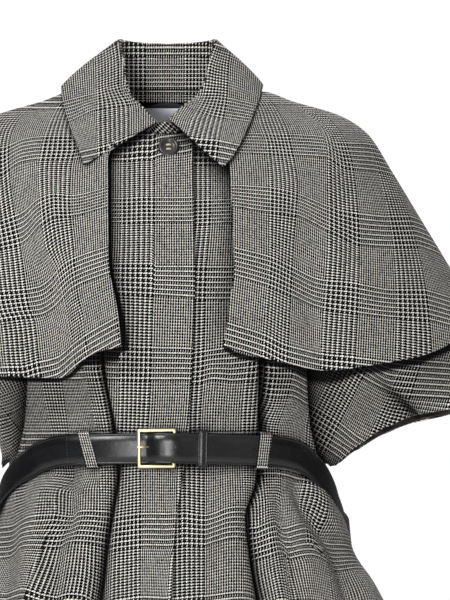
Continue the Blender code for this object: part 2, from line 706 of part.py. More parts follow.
def neck_point(psi, up, ride=0.0):
    """A point at an angle from the back, a share of the band's height above the panels' top edge."""
    phi = math.pi / 2 - psi
    seat = section_point(BODY, 0.0, phi)
    inward = -seat * (1, 1, 0)
    inward = inward / np.linalg.norm(inward, axis=-1, keepdims=True)
    top = CLOTH + 2 * GAP + np.broadcast_to(ride, phi.shape)
    rise = np.array([0.0, 0.0, 1.0])
    place = seat + outward(BODY, 0.0, phi) * top[..., None] + inward * BAND_SETBACK
    return place + (inward * BAND_INSET + rise * BAND_HEIGHT) * up


def band_ride(degrees):
    """How far out the band lies: its right front end passes over its left one."""
    return OVERLAP_LIFT * (1 - ramp(degrees, -165, -140))


def collar_curves(table, side, columns):
    """Base, crest and outer edge of half the collar, from the back to its front end."""
    psi = np.linspace(0, table[-1].psi, columns + 1)
    keys = [row.psi for row in table]
    column = {name: smooth(keys, [getattr(r, name) for r in table], psi) for name in CollarRow._fields}
    crest = np.stack([side * column["crest_x"], column["crest_y"], column["crest_z"]], axis=-1)
    edge = np.stack([side * column["edge_x"], column["edge_y"], column["edge_z"]], axis=-1)
    row, phi = front_place(CAPE, edge[:, 0], edge[:, 2])
    resting = cape_point(row, phi, np.full(phi.shape, CLOTH + COLLAR_CLEAR))
    in_front = psi > COLLAR_RESTS_FROM
    edge[in_front, 1] = np.minimum(edge[in_front, 1], resting[in_front, 1])
    base = neck_point(side * np.radians(psi), 1.0 + 2 * GAP / BAND_HEIGHT, band_ride(side * psi))
    return base, crest, edge


def collar_profile(base, crest, edge):
    """Rows from the band up to the crest and down the fall."""
    away = (edge - crest) * (1, 1, 0)
    away = away / np.linalg.norm(away, axis=-1, keepdims=True)
    rows = []
    for share in np.linspace(0, 1, STAND_STEPS + 1)[:-1]:
        rows.append(base + (crest - base) * share)
    rows.append(crest)
    for share in FALL_SHARES:
        lift = COLLAR_STAND_OFF * math.sin(math.pi * share) ** 0.7
        rows.append(crest + (edge - crest) * share + away * lift + np.array([0, 0, lift * 0.6]))
    return np.array(rows)


def collar_grid():
    right = collar_profile(*collar_curves(COLLAR_RIGHT, -1.0, COLLAR_COLUMNS))
    left = collar_profile(*collar_curves(COLLAR_LEFT, 1.0, COLLAR_COLUMNS))
    return np.concatenate([right[:, ::-1], left[:, 1:]], axis=1)


BAND_COLUMNS = 40
BAND_START = math.radians(-190.0)  # the right front end, crossing over the left one
BAND_END = math.radians(166.0)


def band_grid():
    """The band round the neck, its right end riding over its left one in front."""
    psi = np.linspace(BAND_START, BAND_END, BAND_COLUMNS + 1)
    ride = band_ride(np.degrees(psi))
    return np.array([neck_point(psi, up, ride) for up in (0.0, 0.5, 1.0)])


# ---------------------------------------------------------------- belt and buckle


def belt_centre_z(phi):
    """Height of the belt's centre line at an angle."""
    phi = np.asarray(phi, float)
    from_front = np.degrees(phi) + 90
    turned = (from_front + 180) % 360 - 180
    degrees = [row.degrees for row in BELT_LINE]
    right = smooth(degrees, [row.right_z for row in BELT_LINE], np.abs(turned))
    left = smooth(degrees, [row.left_z for row in BELT_LINE], np.abs(turned))
    return np.where(turned < 0, right, left)


def belt_ring(phi):
    """The belt's path on the cloth: the widest ring that its height meets, at its centre height."""
    phi = np.asarray(phi, float)
    centre_z = belt_centre_z(phi)
    best = None
    for level in (BELT_HEIGHT / 2, 0.0, -BELT_HEIGHT / 2):
        row = row_at(BODY, phi, centre_z + level)
        place = section_point(BODY, row, phi) + outward(BODY, row, phi) * CLOTH
        place[..., 2] = centre_z
        reach = np.hypot(place[..., 0], place[..., 1])
        if best is None:
            best, far = place, reach
        else:
            best = np.where((reach > far)[..., None], place, best)
            far = np.maximum(reach, far)
    return best


def belt_frame(phi):
    """Place on the path, and the directions along it, outwards and up, at each angle."""
    step = 0.01
    place = belt_ring(phi)
    forward = belt_ring(phi + step) - belt_ring(phi - step)
    forward = forward / np.linalg.norm(forward, axis=-1, keepdims=True)
    out = np.cross(forward, [0.0, 0.0, 1.0])
    out = out / np.linalg.norm(out, axis=-1, keepdims=True)
    up = np.cross(out, forward)
    return place, forward, out, up


def belt_slack(phi):
    """Inner face of the belt outwards from its path: proud over the overlap, close at the sides."""
    from_front = np.abs((np.degrees(phi) + 270) % 360 - 180)
    return BELT_OUT + (BELT_SIDE_OUT - BELT_OUT) * ramp(from_front, 35, 60)


def front_phi(x):
    return phi_at(BODY, 6.9, np.asarray(x, float))


LAYER = BELT_THICK / 2  # from a layer's face to its middle
BAR_OUT = BELT_OUT + BELT_THICK + GAP + BAR_RADIUS
TAIL_OUT = BELT_OUT + BELT_THICK + GAP + LAYER
OVER_BAR_OUT = BAR_OUT + BAR_RADIUS + GAP + LAYER


def belt_path():
    """Angle and distance out of the strap's middle, from its end at the bar round to its tail."""
    turn = BAR_RADIUS + GAP + LAYER
    curl = [(BUCKLE_BAR_X - turn * math.sin(a), BAR_OUT - turn * math.cos(a)) for a in np.radians([85, 55, 25, 0])]
    phi = [float(front_phi(x)) for x, _ in curl]
    out = [o for _, o in curl]
    start = float(front_phi(0.020))
    stop = float(front_phi(-0.040)) + 2 * math.pi
    around = np.linspace(start, stop, 61)
    phi += list(around)
    out += list(belt_slack(around) + LAYER)
    rise = [(-0.0310, 0.0), (-0.0260, 0.0), (-0.0215, 0.26), (-0.0165, 0.64), (-0.0105, 0.93), (-0.0050, 1.0)]
    phi += [float(front_phi(x)) + 2 * math.pi for x, _ in rise]
    out += [BELT_OUT + LAYER + share * (OVER_BAR_OUT - BELT_OUT - LAYER) for _, share in rise]
    fall = [(0.0020, 1.0), (0.0100, 1.0), (0.0150, 0.8), (0.0210, 0.3), (0.0270, 0.0)]
    phi += [float(front_phi(x)) + 2 * math.pi for x, _ in fall]
    out += [TAIL_OUT + share * (OVER_BAR_OUT - TAIL_OUT) for _, share in fall]
    tail_x = np.linspace(0.036, TAIL_END_X, 8)
    phi += [float(front_phi(x)) + 2 * math.pi for x in tail_x]
    out += [TAIL_OUT] * len(tail_x)
    return np.array(phi), np.array(out)


def on_belt(x, out, up=0.0):
    """A point on the belt's front by its x, distance out and height above its middle."""
    place, _, outwards, upwards = belt_frame(front_phi(x))
    return place + outwards * np.asarray(out)[..., None] + upwards * np.asarray(up)[..., None]


def belt_grid():
    phi, out = belt_path()
    place, _, outwards, upwards = belt_frame(phi)
    middle = place + outwards * out[:, None]
    heights = np.linspace(-BELT_HEIGHT / 2, BELT_HEIGHT / 2, 3)
    return middle[:, None, :] + upwards[:, None, :] * heights[None, :, None]


def buckle_path():
    """Middle line of the frame: left bar over the strap, hidden bar under the tail."""
    half = BUCKLE_HEIGHT / 2
    corner = 0.003
    points = []
    corners = [
        (BUCKLE_LEFT_X, -half, 180), (BUCKLE_BAR_X, -half, 270), (BUCKLE_BAR_X, half, 0), (BUCKLE_LEFT_X, half, 90),
    ]
    for x, up, start in corners:
        centre_x = x + math.copysign(corner, -x + (BUCKLE_LEFT_X + BUCKLE_BAR_X) / 2)
        centre_up = up - math.copysign(corner, up)
        for angle in np.radians(np.linspace(start, start + 90, 4)):
            points.append((centre_x + corner * math.cos(angle), centre_up + corner * math.sin(angle)))
    x, up = np.array(points).T
    return on_belt(x, np.full(x.shape, BAR_OUT), up)


HOLE_UP = 0.0015  # the holes' line above the strap's middle


def prong_path():
    rise = [
        (BUCKLE_BAR_X - BAR_RADIUS - PRONG_RADIUS - GAP * 2, BAR_OUT + 0.0002),
        (-0.0040, BAR_OUT - 0.0004),
        (-0.0110, BAR_OUT - 0.0002),
        (-0.0165, BAR_OUT + 0.0006),
        (-0.0215, BAR_OUT + 0.0022),
        (-0.0255, BAR_OUT + BAR_RADIUS + PRONG_RADIUS + GAP),
        (BUCKLE_LEFT_X - 0.0012, BAR_OUT + BAR_RADIUS + PRONG_RADIUS + GAP),
    ]
    x, out = np.array(rise).T
    return on_belt(x, out, np.full(x.shape, HOLE_UP))


def keeper_grid():
    """A band of leather round both layers of the strap."""
    low = BELT_OUT - GAP - KEEPER_THICK
    high = TAIL_OUT + LAYER + GAP
    half = BELT_HEIGHT / 2 + GAP * 3
    bevel = 0.001
    section = [
        (low + KEEPER_THICK, -half + bevel), (low + KEEPER_THICK, half - bevel), (low + KEEPER_THICK + bevel, half),
        (high - bevel, half), (high, half - bevel), (high, -half + bevel), (high - bevel, -half),
        (low + KEEPER_THICK + bevel, -half),
    ]
    grid = []
    for x in (KEEPER_X - KEEPER_WIDTH / 2, KEEPER_X + KEEPER_WIDTH / 2):
        out, up = np.array(section).T
        grid.append(on_belt(np.full(out.shape, x), out, up))
    return np.array(grid)


LoopPlace = namedtuple("LoopPlace", "name phi out slant")


def loop_places():
    """The four cloth loops: where each crosses the belt, how far out the belt stands there."""
    over_tail = TAIL_OUT + LAYER
    over_belt = BELT_OUT + BELT_THICK
    back_right = math.pi - math.radians(46.0)
    back_left = math.radians(48.0)
    return [
        LoopPlace("belt_loop_front_right", float(front_phi(-0.0805)), over_belt, 0.24),
        LoopPlace("belt_loop_front_left", float(front_phi(0.0970)), over_tail, -0.08),
        LoopPlace("belt_loop_back_right", back_right, float(belt_slack(back_right)) + BELT_THICK, 0.0),
        LoopPlace("belt_loop_back_left", back_left, float(belt_slack(back_left)) + BELT_THICK, 0.0),
    ]


def loop_grid(spot):
    """A strip that starts on the cloth above the belt, passes over it and ends on the cloth below."""
    half = BELT_HEIGHT / 2
    profile = np.array([
        (0.0, half + 0.0060), (0.0, half + 0.0038), (0.6, half + 0.0022), (1.0, half + 0.0010),
        (1.0, 0.0), (1.0, -half - 0.0010), (0.6, -half - 0.0022), (0.0, -half - 0.0038), (0.0, -half - 0.0060),
    ])
    step = 0.01
    speed = np.linalg.norm(belt_ring(np.array(spot.phi + step)) - belt_ring(np.array(spot.phi - step))) / (2 * step)
    share, up = profile.T
    across = np.array([-LOOP_WIDTH / 2, 0.0, LOOP_WIDTH / 2])
    phi = spot.phi + (across[None, :] - spot.slant * up[:, None]) / speed
    place, _, outwards, upwards = belt_frame(phi)
    place = place + upwards * up[:, None, None]
    over = place + outwards * (share * (spot.out + 2 * GAP))[:, None, None]
    return np.where((share < 0.25)[:, None, None], on_cloth(place), over)


def bearing(phi, z):
    """Compass direction of the body's surface at a section angle and height."""
    place = section_point(BODY, row_at(BODY, phi, z), phi)
    return np.arctan2(place[..., 1], place[..., 0])


def on_cloth(points):
    """The cloth's smooth outer face, a gap out, at the direction and height of each point."""
    target = np.arctan2(points[..., 1], points[..., 0])
    z = points[..., 2]
    phi = solve(target - 0.6, target + 0.6, lambda angle: np.sin(bearing(angle, z) - target) > 0)
    row = row_at(BODY, phi, z)
    return section_point(BODY, row, phi) + outward(BODY, row, phi) * (CLOTH + 3 * GAP)


# ---------------------------------------------------------------- small pieces


def button(finish, collection, helpers):
    """A turned button with a rim, lying on the overlap, with four sewing holes."""
    row, phi = front_place(BODY, BUTTON_X, BUTTON_Z)
    normal = outward(BODY, row, phi)
    seat = section_point(BODY, row, phi) + normal * (OVERLAP_LIFT + CLOTH + 2 * GAP)
    across = np.array([1.0, 0.0, 0.0])
    across = across - normal * across.dot(normal)
    across = across / np.linalg.norm(across)
    frame = frame_matrix(seat, across, np.cross(normal, across), normal)
    r, t = BUTTON_RADIUS, BUTTON_THICK
    profile = [
        (0.0, 0.62 * t), (0.52 * r, 0.62 * t), (0.66 * r, 0.80 * t), (0.80 * r, t), (0.92 * r, 0.92 * t),
        (r, 0.62 * t), (r, 0.38 * t), (0.90 * r, 0.06 * t), (0.72 * r, 0.0), (0.0, 0.0),
    ]
    mesh = bpy.data.meshes.new("button")
    edges = [(i, i + 1) for i in range(len(profile) - 1)]
    mesh.from_pydata([(x, 0.0, z) for x, z in profile], edges, [])
    mesh.materials.append(finish)
    obj = bpy.data.objects.new("button", mesh)
    collection.objects.link(obj)
    turn = obj.modifiers.new("Turn", "SCREW")
    turn.steps = turn.render_steps = 32
    turn.use_merge_vertices = True
    turn.merge_threshold = 0.00001
    turn.use_smooth_shade = True
    obj.matrix_world = frame
    for i in range(4):
        angle = math.pi / 4 + i * math.pi / 2
        spot = Vector((0.0022 * math.cos(angle), 0.0022 * math.sin(angle), t / 2))
        hole = cutter_rod(f"button_hole_{i}", frame @ Matrix.Translation(spot), 0.0009, 3 * t, helpers)
        cut(obj, hole)
    return obj


def punch_holes(belt, helpers):
    """The tail's round holes, the long one that the prong uses, and the slot at the strap's fold."""
    for i in (1, 3, 4):
        x = PRONG_HOLE_X + HOLE_SPACING * i
        out = TAIL_OUT if i > 1 else OVER_BAR_OUT
        drill(belt, f"belt_hole_{i}", x, out, HOLE_RADIUS, helpers)
    place, forward, out, up = belt_frame(front_phi(PRONG_HOLE_X))
    spot = place + out * (BAR_OUT + 0.0007) + up * HOLE_UP
    frame = frame_matrix(spot, forward, -up, out)
    long_hole = cutter_box("belt_hole_0", frame, (0.0144, 2 * HOLE_RADIUS + 0.0006, 0.0044), helpers)
    cut(belt, long_hole)
    place, forward, out, up = belt_frame(front_phi(BUCKLE_BAR_X - 0.0025))
    spot = place + out * BAR_OUT + up * HOLE_UP
    frame = frame_matrix(spot, forward, -up, out)
    slot = cutter_box("belt_slot", frame, (0.0060, 2 * PRONG_RADIUS + 0.0008, 0.0036), helpers)
    cut(belt, slot)


def drill(belt, name, x, out_distance, radius, helpers):
    place, forward, out, up = belt_frame(front_phi(x))
    spot = place + out * out_distance + up * HOLE_UP
    frame = frame_matrix(spot, forward, -up, out)
    cut(belt, cutter_rod(name, frame, radius, BELT_THICK + 2 * 0.00015, helpers))


def inside_back(x, z, depth):
    """Points a depth inside the back panel's inner face, at x and z seen from the front."""
    phi = -phi_at(BODY, 0.5, x)
    for _ in range(12):
        row = row_at(BODY, phi, z)
        phi = -phi_at(BODY, row, x)
    return body_point(row, phi, np.full(phi.shape, -depth))


def neck_lining_grid():
    """Lining on the inside of the back, under the collar."""
    x = np.linspace(-NECK_LINING_HALF, NECK_LINING_HALF, 13)
    top = NECK_LINING_TOP_Z - 0.35 * x * x / NECK_LINING_HALF
    rows = []
    for share in np.linspace(0, 1, 5):
        z = top * (1 - share) + NECK_LINING_LOW_Z * share
        rows.append(inside_back(x, z, LINING_STAND_OFF))
    return np.array(rows)


def label_grid():
    """The label, on the inside of the lining."""
    x = LABEL_X + np.linspace(-LABEL_WIDTH / 2, LABEL_WIDTH / 2, 7)
    levels = np.linspace(LABEL_TOP_Z, LABEL_LOW_Z, 3)
    depth = LINING_STAND_OFF + THIN_CLOTH + 3 * GAP
    return np.array([inside_back(x, np.full(x.shape, z), depth) for z in levels])


# ---------------------------------------------------------------- the jacket


def build():
    clear_scene()
    jacket = collection_for(GARMENT)
    helpers = collection_for("cutters", hidden=True)
    check = material("check_cloth", (0.24, 0.235, 0.22), 0.85)
    leather = material("black_leather", (0.012, 0.013, 0.016), 0.42)
    gold = material("gold_metal", (0.83, 0.66, 0.32), 0.22, 1.0)
    horn = material("dark_horn", (0.030, 0.026, 0.024), 0.35)
    brown = material("brown_lining", (0.020, 0.014, 0.011), 0.6)
    navy = material("navy_lining", (0.010, 0.011, 0.020), 0.6)
    white = material("white_label", (0.80, 0.81, 0.86), 0.5)

    sheet("front_right", front_grid(-1), CLOTH, check, jacket, flip=True)
    sheet("front_left", front_grid(1), CLOTH, check, jacket)
    sheet("back", back_grid(), CLOTH, check, jacket)
    for name, end in (("sleeve_right", SLEEVE_RIGHT), ("sleeve_left", SLEEVE_LEFT)):
        flip = end.side > 0
        sheet(name, sleeve_grid(end), CLOTH, check, jacket, closed=True, flip=flip)
        lining = name.replace("sleeve", "sleeve_lining")
        sheet(lining, sleeve_lining_grid(end), THIN_CLOTH, brown, jacket, closed=True, flip=not flip)
    sheet("cape_right", cape_front_grid(-1), CLOTH, check, jacket, flip=True)
    sheet("cape_left", cape_front_grid(1), CLOTH, check, jacket)
    sheet("cape_back", cape_back_grid(), CLOTH, check, jacket)
    sheet("collar_band", band_grid(), CLOTH, check, jacket, flip=True)
    sheet("collar", collar_grid(), CLOTH, check, jacket, flip=True)
    sheet("neck_lining", neck_lining_grid(), THIN_CLOTH, navy, jacket)
    sheet("label", label_grid(), THIN_CLOTH, white, jacket)

    belt = sheet("belt", belt_grid(), BELT_THICK, leather, jacket, offset=0.0)
    punch_holes(belt, helpers)
    rod("buckle_frame", buckle_path(), BAR_RADIUS, gold, jacket, closed=True)
    rod("buckle_prong", prong_path(), PRONG_RADIUS, gold, jacket)
    sheet("belt_keeper", keeper_grid(), KEEPER_THICK, leather, jacket, closed=True, flip=True)
    for spot in loop_places():
        sheet(spot.name, loop_grid(spot), LOOP_THICK, check, jacket)
    button(horn, jacket, helpers)


build()
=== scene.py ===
"""The looks of a belted cape jacket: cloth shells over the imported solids, and every finish.

Metres, +Z up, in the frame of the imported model. The front faces -Y and the wearer's left is +X.
Left and right are the wearer's. The surfaces follow the same tables as the solids, at a finer
step, with the soft folds added. Check lines are placed where they show from the front.
"""

import math
from collections import namedtuple

import bpy
import numpy as np
from mathutils import Matrix, Vector


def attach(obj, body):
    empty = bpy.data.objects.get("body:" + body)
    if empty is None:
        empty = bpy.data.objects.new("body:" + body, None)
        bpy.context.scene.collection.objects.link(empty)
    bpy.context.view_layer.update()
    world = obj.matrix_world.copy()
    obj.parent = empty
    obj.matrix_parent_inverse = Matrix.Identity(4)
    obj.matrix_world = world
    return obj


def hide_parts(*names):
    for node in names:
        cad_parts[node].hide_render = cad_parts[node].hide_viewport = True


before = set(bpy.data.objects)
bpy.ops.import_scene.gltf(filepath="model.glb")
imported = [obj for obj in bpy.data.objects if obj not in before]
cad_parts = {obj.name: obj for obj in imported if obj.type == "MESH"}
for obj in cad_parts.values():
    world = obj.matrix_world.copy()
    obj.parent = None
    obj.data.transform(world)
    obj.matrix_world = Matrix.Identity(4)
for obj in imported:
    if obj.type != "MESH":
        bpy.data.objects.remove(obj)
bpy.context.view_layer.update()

BODY_NAME = "root"


def tabled(kind, *rows):
    """A table's columns, by name, as one array each."""
    return kind(*np.array(rows, float).T)


# Walls and the clearance between neighbouring pieces.
CLOTH = 0.002
THIN_CLOTH = 0.0012
GAP = 0.0003
CREASE_GAP = 0.0034  # at the armhole, where two walls meet in a valley

# Buttoned front.
OVERLAP_LIFT = CLOTH + 2 * GAP  # how far the right front rides over the left
UNDERLAP_X = -0.014
LIFT_START_X = -0.046
LIFT_END_X = -0.024
BUTTON_X = 0.0016
BUTTON_Z = -0.0525
BUTTON_RADIUS = 0.0108
BUTTON_THICK = 0.0042
HOLES_OUT = 0.0034  # from the button's middle to each of its four holes
BUTTON_TURN = 0.55  # how far the button turns from the cloth's slope to face the front
BUTTON_SHANK = 0.0036  # the thread that holds it off the cloth
BUTTON_DROP = 0.0035

# Belt and buckle. OUT is measured from the cloth's smooth outer face.
BELT_HEIGHT = 0.032
BELT_THICK = 0.0025
BELT_OUT = 0.0030  # inner face, at the front
BELT_SIDE_OUT = 0.0028  # inner face, at the sides and back
BAR_RADIUS = 0.0017
SHOWN_BAR_RADIUS = 0.0019
BUCKLE_LEFT_X = -0.0283
BUCKLE_BAR_X = 0.0072
BUCKLE_HEIGHT = 0.0378  # between bar centres
BUCKLE_CORNER = 0.0005
PRONG_RADIUS = 0.0012
HOLE_RADIUS = 0.0017
HOLE_SPACING = 0.0263
PRONG_HOLE_X = -0.0185
PRONG_SLOT_X = -0.0213  # the hole under the prong, as it shows
TAIL_END_X = 0.099
KEEPER_X = 0.0360
KEEPER_WIDTH = 0.0095
KEEPER_THICK = 0.0012
KEEPER_ROOM = 0.0022  # between the strap's edge and the keeper
KEEPER_CORNER = 0.0012
LOOP_WIDTH = 0.0118
LOOP_THICK = 0.0015

SECTION_POWER = 2.15  # 2 is an ellipse, more is squarer
DIP_POWER = 1.5  # how quickly a section dips from side to front

Section = namedtuple("Section", "half front back side_z front_z back_z")

# The body from neckline to hem, each row a closed section round the figure.
BODY = tabled(
    Section,
    (0.066, 0.058, 0.058, -0.006, -0.0385, -0.0020),
    (0.128, 0.088, 0.082, -0.018, -0.066, -0.024),
    (0.194, 0.110, 0.099, -0.043, -0.110, -0.070),
    (0.190, 0.122, 0.106, -0.120, -0.165, -0.140),
    (0.183, 0.124, 0.105, -0.210, -0.225, -0.220),
    (0.175, 0.116, 0.101, -0.290, -0.290, -0.290),
    (0.1665, 0.107, 0.095, -0.345, -0.345, -0.345),
    (0.1645, 0.104, 0.093, -0.370, -0.370, -0.370),
    (0.1665, 0.106, 0.095, -0.392, -0.392, -0.392),
    (0.1755, 0.115, 0.104, -0.420, -0.420, -0.420),
    (0.1870, 0.128, 0.118, -0.465, -0.465, -0.465),
    (0.2000, 0.138, 0.129, -0.495, -0.495, -0.495),
    (0.2240, 0.152, 0.144, -0.527, -0.527, -0.527),
    (0.2480, 0.165, 0.158, -0.565, -0.565, -0.565),
    (0.2700, 0.178, 0.172, -0.614, -0.614, -0.614),
)
SHOULDER = 2.0  # the BODY row that ends the shoulder seam
WAIST = 7.55  # the BODY row where the armhole ends and the side seam starts

# The capelet from neckline to hem.
CAPE = tabled(
    Section,
    (0.073, 0.067, 0.066, 0.0050, -0.032, 0.0020),
    (0.100, 0.086, 0.082, 0.0085, -0.046, -0.008),
    (0.134, 0.103, 0.096, -0.0025, -0.062, -0.026),
    (0.182, 0.121, 0.110, -0.0170, -0.090, -0.055),
    (0.2095, 0.133, 0.119, -0.0350, -0.125, -0.095),
    (0.2375, 0.141, 0.127, -0.0780, -0.170, -0.150),
    (0.2665, 0.146, 0.134, -0.1260, -0.208, -0.200),
    (0.2955, 0.150, 0.141, -0.1740, -0.242, -0.245),
    (0.3245, 0.154, 0.148, -0.2230, -0.275, -0.290),
    (0.3500, 0.158, 0.154, -0.2650, -0.305, -0.330),
)

Mark = namedtuple("Mark", "x z")

# Lines in the front view, top to bottom, that seams, edges and folds follow.
PLACKET_EDGE = tabled(
    Mark,
    (0.0262, -0.030), (0.0288, -0.190), (0.0252, -0.294), (0.0226, -0.344), (0.0178, -0.385),
    (0.0105, -0.434), (0.0075, -0.470), (0.0010, -0.614),
)
PLEAT_RIGHT = tabled(
    Mark,
    (-0.068, -0.10), (-0.069, -0.27), (-0.056, -0.35), (-0.0515, -0.386), (-0.0567, -0.42),
    (-0.065, -0.462), (-0.0735, -0.525), (-0.084, -0.614),
)
PLEAT_LEFT = tabled(
    Mark,
    (0.102, -0.10), (0.1028, -0.27), (0.1010, -0.35), (0.0983, -0.395), (0.0872, -0.434),
    (0.0924, -0.474), (0.1019, -0.524), (0.117, -0.614),
)
CAPE_EDGE_RIGHT = tabled(
    Mark,
    (-0.047, -0.030), (-0.0615, -0.063), (-0.0614, -0.158), (-0.0600, -0.179), (-0.0535, -0.210),
    (-0.0488, -0.247), (-0.0480, -0.262),
)
CAPE_EDGE_LEFT = tabled(
    Mark,
    (0.050, -0.032), (0.0651, -0.068), (0.0693, -0.147), (0.0704, -0.179), (0.0660, -0.210),
    (0.0620, -0.242), (0.0578, -0.262),
)

# Soft troughs down the capelet.
TROUGH_RIGHT = tabled(Mark, (-0.163, -0.060), (-0.140, -0.140), (-0.112, -0.262))
TROUGH_LEFT = tabled(Mark, (0.158, -0.040), (0.150, -0.150), (0.163, -0.280))
TROUGH_BACK_X = 0.11
TROUGH_WIDTH = 0.022
TROUGH_DEPTH = 0.008

# Hem of the capelet against the distance from the middle.
CAPE_HEM_RIGHT = tabled(
    Mark,
    (0.048, -0.2595), (0.070, -0.2646), (0.089, -0.2750), (0.100, -0.2867), (0.115, -0.2910),
    (0.154, -0.2910), (0.215, -0.2850), (0.270, -0.2680), (0.300, -0.2540), (0.3245, -0.2230),
)
CAPE_HEM_LEFT = tabled(
    Mark,
    (0.058, -0.2583), (0.075, -0.2670), (0.098, -0.2710), (0.140, -0.2800), (0.170, -0.2830),
    (0.224, -0.2770), (0.266, -0.2690), (0.297, -0.2560), (0.3245, -0.2230),
)
CAPE_HEM_BACK = tabled(
    Mark,
    (0.000, -0.2850), (0.150, -0.2880), (0.215, -0.2850), (0.270, -0.2680), (0.300, -0.2540),
    (0.3245, -0.2230),
)

# Armhole: how far round from the side each row of the front's seam lies.
ArmholeRow = namedtuple("ArmholeRow", "row degrees")
ARMHOLE = tabled(
    ArmholeRow,
    (SHOULDER, 0.0), (2.1, 13.0), (2.6, 33.0), (3.0, 39.0), (4.0, 38.0), (5.0, 29.0), (6.0, 20.0),
    (7.0, 12.5), (WAIST, 9.0),
)

# Sleeve mouths, from the outer end in to the waist, with the half depth of the opening.
MouthRow = namedtuple("MouthRow", "x z depth")
MOUTH_LEFT = tabled(
    MouthRow,
    (0.3560, -0.2800, 0.000), (0.3530, -0.2930, 0.022), (0.3420, -0.3060, 0.038),
    (0.3200, -0.3180, 0.050), (0.2950, -0.3250, 0.056), (0.2700, -0.3290, 0.057),
    (0.2480, -0.3360, 0.055), (0.2300, -0.3440, 0.051), (0.2150, -0.3530, 0.045),
    (0.2000, -0.3640, 0.037), (0.1860, -0.3760, 0.026), (0.1785, -0.3830, 0.012),
)
MOUTH_RIGHT = tabled(
    MouthRow,
    (-0.3520, -0.2860, 0.000), (-0.3480, -0.3000, 0.022), (-0.3360, -0.3120, 0.038),
    (-0.3140, -0.3210, 0.050), (-0.2890, -0.3250, 0.056), (-0.2640, -0.3270, 0.057),
    (-0.2420, -0.3290, 0.055), (-0.2220, -0.3320, 0.051), (-0.2040, -0.3370, 0.045),
    (-0.1880, -0.3440, 0.037), (-0.1780, -0.3560, 0.026), (-0.1745, -0.3720, 0.012),
)
SleeveEnd = namedtuple("SleeveEnd", "side table underarm")
SLEEVE_LEFT = SleeveEnd(1.0, MOUTH_LEFT, (0.1725, 0.0, -0.3840))
SLEEVE_RIGHT = SleeveEnd(-1.0, MOUTH_RIGHT, (-0.1745, 0.0, -0.3860))
SLEEVE_BULGE = 0.012
SLEEVE_FOLD_AT = 0.47  # share of the way from the outer end in to the waist
SLEEVE_FOLD_WIDTH = 0.06
SLEEVE_FOLD_DEPTH = 0.012
SLEEVE_TOP_PULL = 0.016
BACK_MOUTH_DROP = 0.0085
MOUTH_START = 0.35  # the place in the mouth's table of its first point past the outer end
LINING_REACH = 0.85  # share of the sleeve's last stretch that the lining covers

# Collar: the crest where it rolls over and the outer edge of its fall, from the back to the
# front end. psi is the angle from the back; x is measured outwards.
CollarRow = namedtuple("CollarRow", "psi crest_x crest_y crest_z edge_x edge_y edge_z")
COLLAR_RIGHT = tabled(
    CollarRow,
    (0, 0.000, 0.062, 0.0620, 0.000, 0.116, -0.0120),
    (30, 0.034, 0.055, 0.0640, 0.062, 0.101, -0.0080),
    (55, 0.049, 0.040, 0.0668, 0.099, 0.060, 0.0020),
    (75, 0.050, 0.020, 0.0620, 0.1110, 0.018, 0.0150),
    (95, 0.0455, -0.003, 0.0430, 0.1105, -0.022, 0.0045),
    (115, 0.0430, -0.024, 0.0230, 0.1060, -0.055, -0.0155),
    (135, 0.0385, -0.041, 0.0060, 0.0990, -0.080, -0.0360),
    (152, 0.0270, -0.052, -0.0060, 0.0925, -0.097, -0.0530),
    (168, 0.0105, -0.060, -0.0240, 0.0870, -0.108, -0.0680),
)
COLLAR_LEFT = tabled(
    CollarRow,
    (0, 0.000, 0.062, 0.0620, 0.000, 0.116, -0.0120),
    (30, 0.034, 0.055, 0.0640, 0.058, 0.101, -0.0080),
    (55, 0.049, 0.040, 0.0668, 0.093, 0.060, 0.0040),
    (75, 0.0485, 0.020, 0.0620, 0.1000, 0.018, 0.0165),
    (95, 0.0440, -0.003, 0.0430, 0.0975, -0.022, 0.0045),
    (115, 0.0390, -0.024, 0.0210, 0.0905, -0.055, -0.0150),
    (135, 0.0300, -0.041, 0.0050, 0.0800, -0.080, -0.0400),
    (152, 0.0160, -0.052, -0.0060, 0.0690, -0.100, -0.0600),
    (166, 0.0010, -0.060, -0.0200, 0.0590, -0.109, -0.0710),
)
BAND_HEIGHT = 0.0125
BAND_INSET = 0.004  # how far the band leans in over its height
BAND_SETBACK = 0.0016
BAND_CROSSING = (-165, -140)  # degrees from the back between which its right end comes back down
COLLAR_STAND_OFF = 0.003  # how far the fall keeps from the stand at the crest
COLLAR_SAG = 0.0055  # how far the collar's front edges hang below a straight line
COLLAR_SAG_FROM = 0.85  # share of each half at which they start to
COLLAR_SAG_OUT = 0.45  # how far they lean out over the capelet, as a share of the sag
COLLAR_CLEAR = 0.0075  # between the fall's edge and the capelet under it
COLLAR_RESTS_FROM = 86.0  # the angle past which the fall's edge lies on the capelet

# Belt centre line, round from the front. Angles are from the front on the named side.
BeltRow = namedtuple("BeltRow", "degrees right_z left_z")
BELT_LINE = tabled(
    BeltRow,
    (0, -0.3655, -0.3655), (36, -0.3680, -0.3685), (50, -0.3750, -0.3730), (58, -0.3840, -0.3790),
    (66, -0.3920, -0.3900), (74, -0.4040, -0.4060), (82, -0.4190, -0.4270), (90, -0.4320, -0.4480),
    (110, -0.4480, -0.4620), (140, -0.4600, -0.4660), (180, -0.4660, -0.4660),
)

LABEL_WIDTH = 0.048
LABEL_X = -0.006
LABEL_TOP_Z = -0.0072
LABEL_LOW_Z = -0.0225
NECK_LINING_HALF = 0.048
NECK_LINING_TOP_Z = -0.0030
NECK_LINING_LOW_Z = -0.0320
NECK_LINING_BEND = 0.35  # how far its top edge drops at its ends, as a share of its half width
LINING_STAND_OFF = 0.0010
LINING_SHIFT = np.array([0.0, -0.0014, 0.0030])  # lifts the lining's top over the band's lower edge
SLEEVE_LINING_OFF = 0.0013


# ---------------------------------------------------------------- curves and surfaces


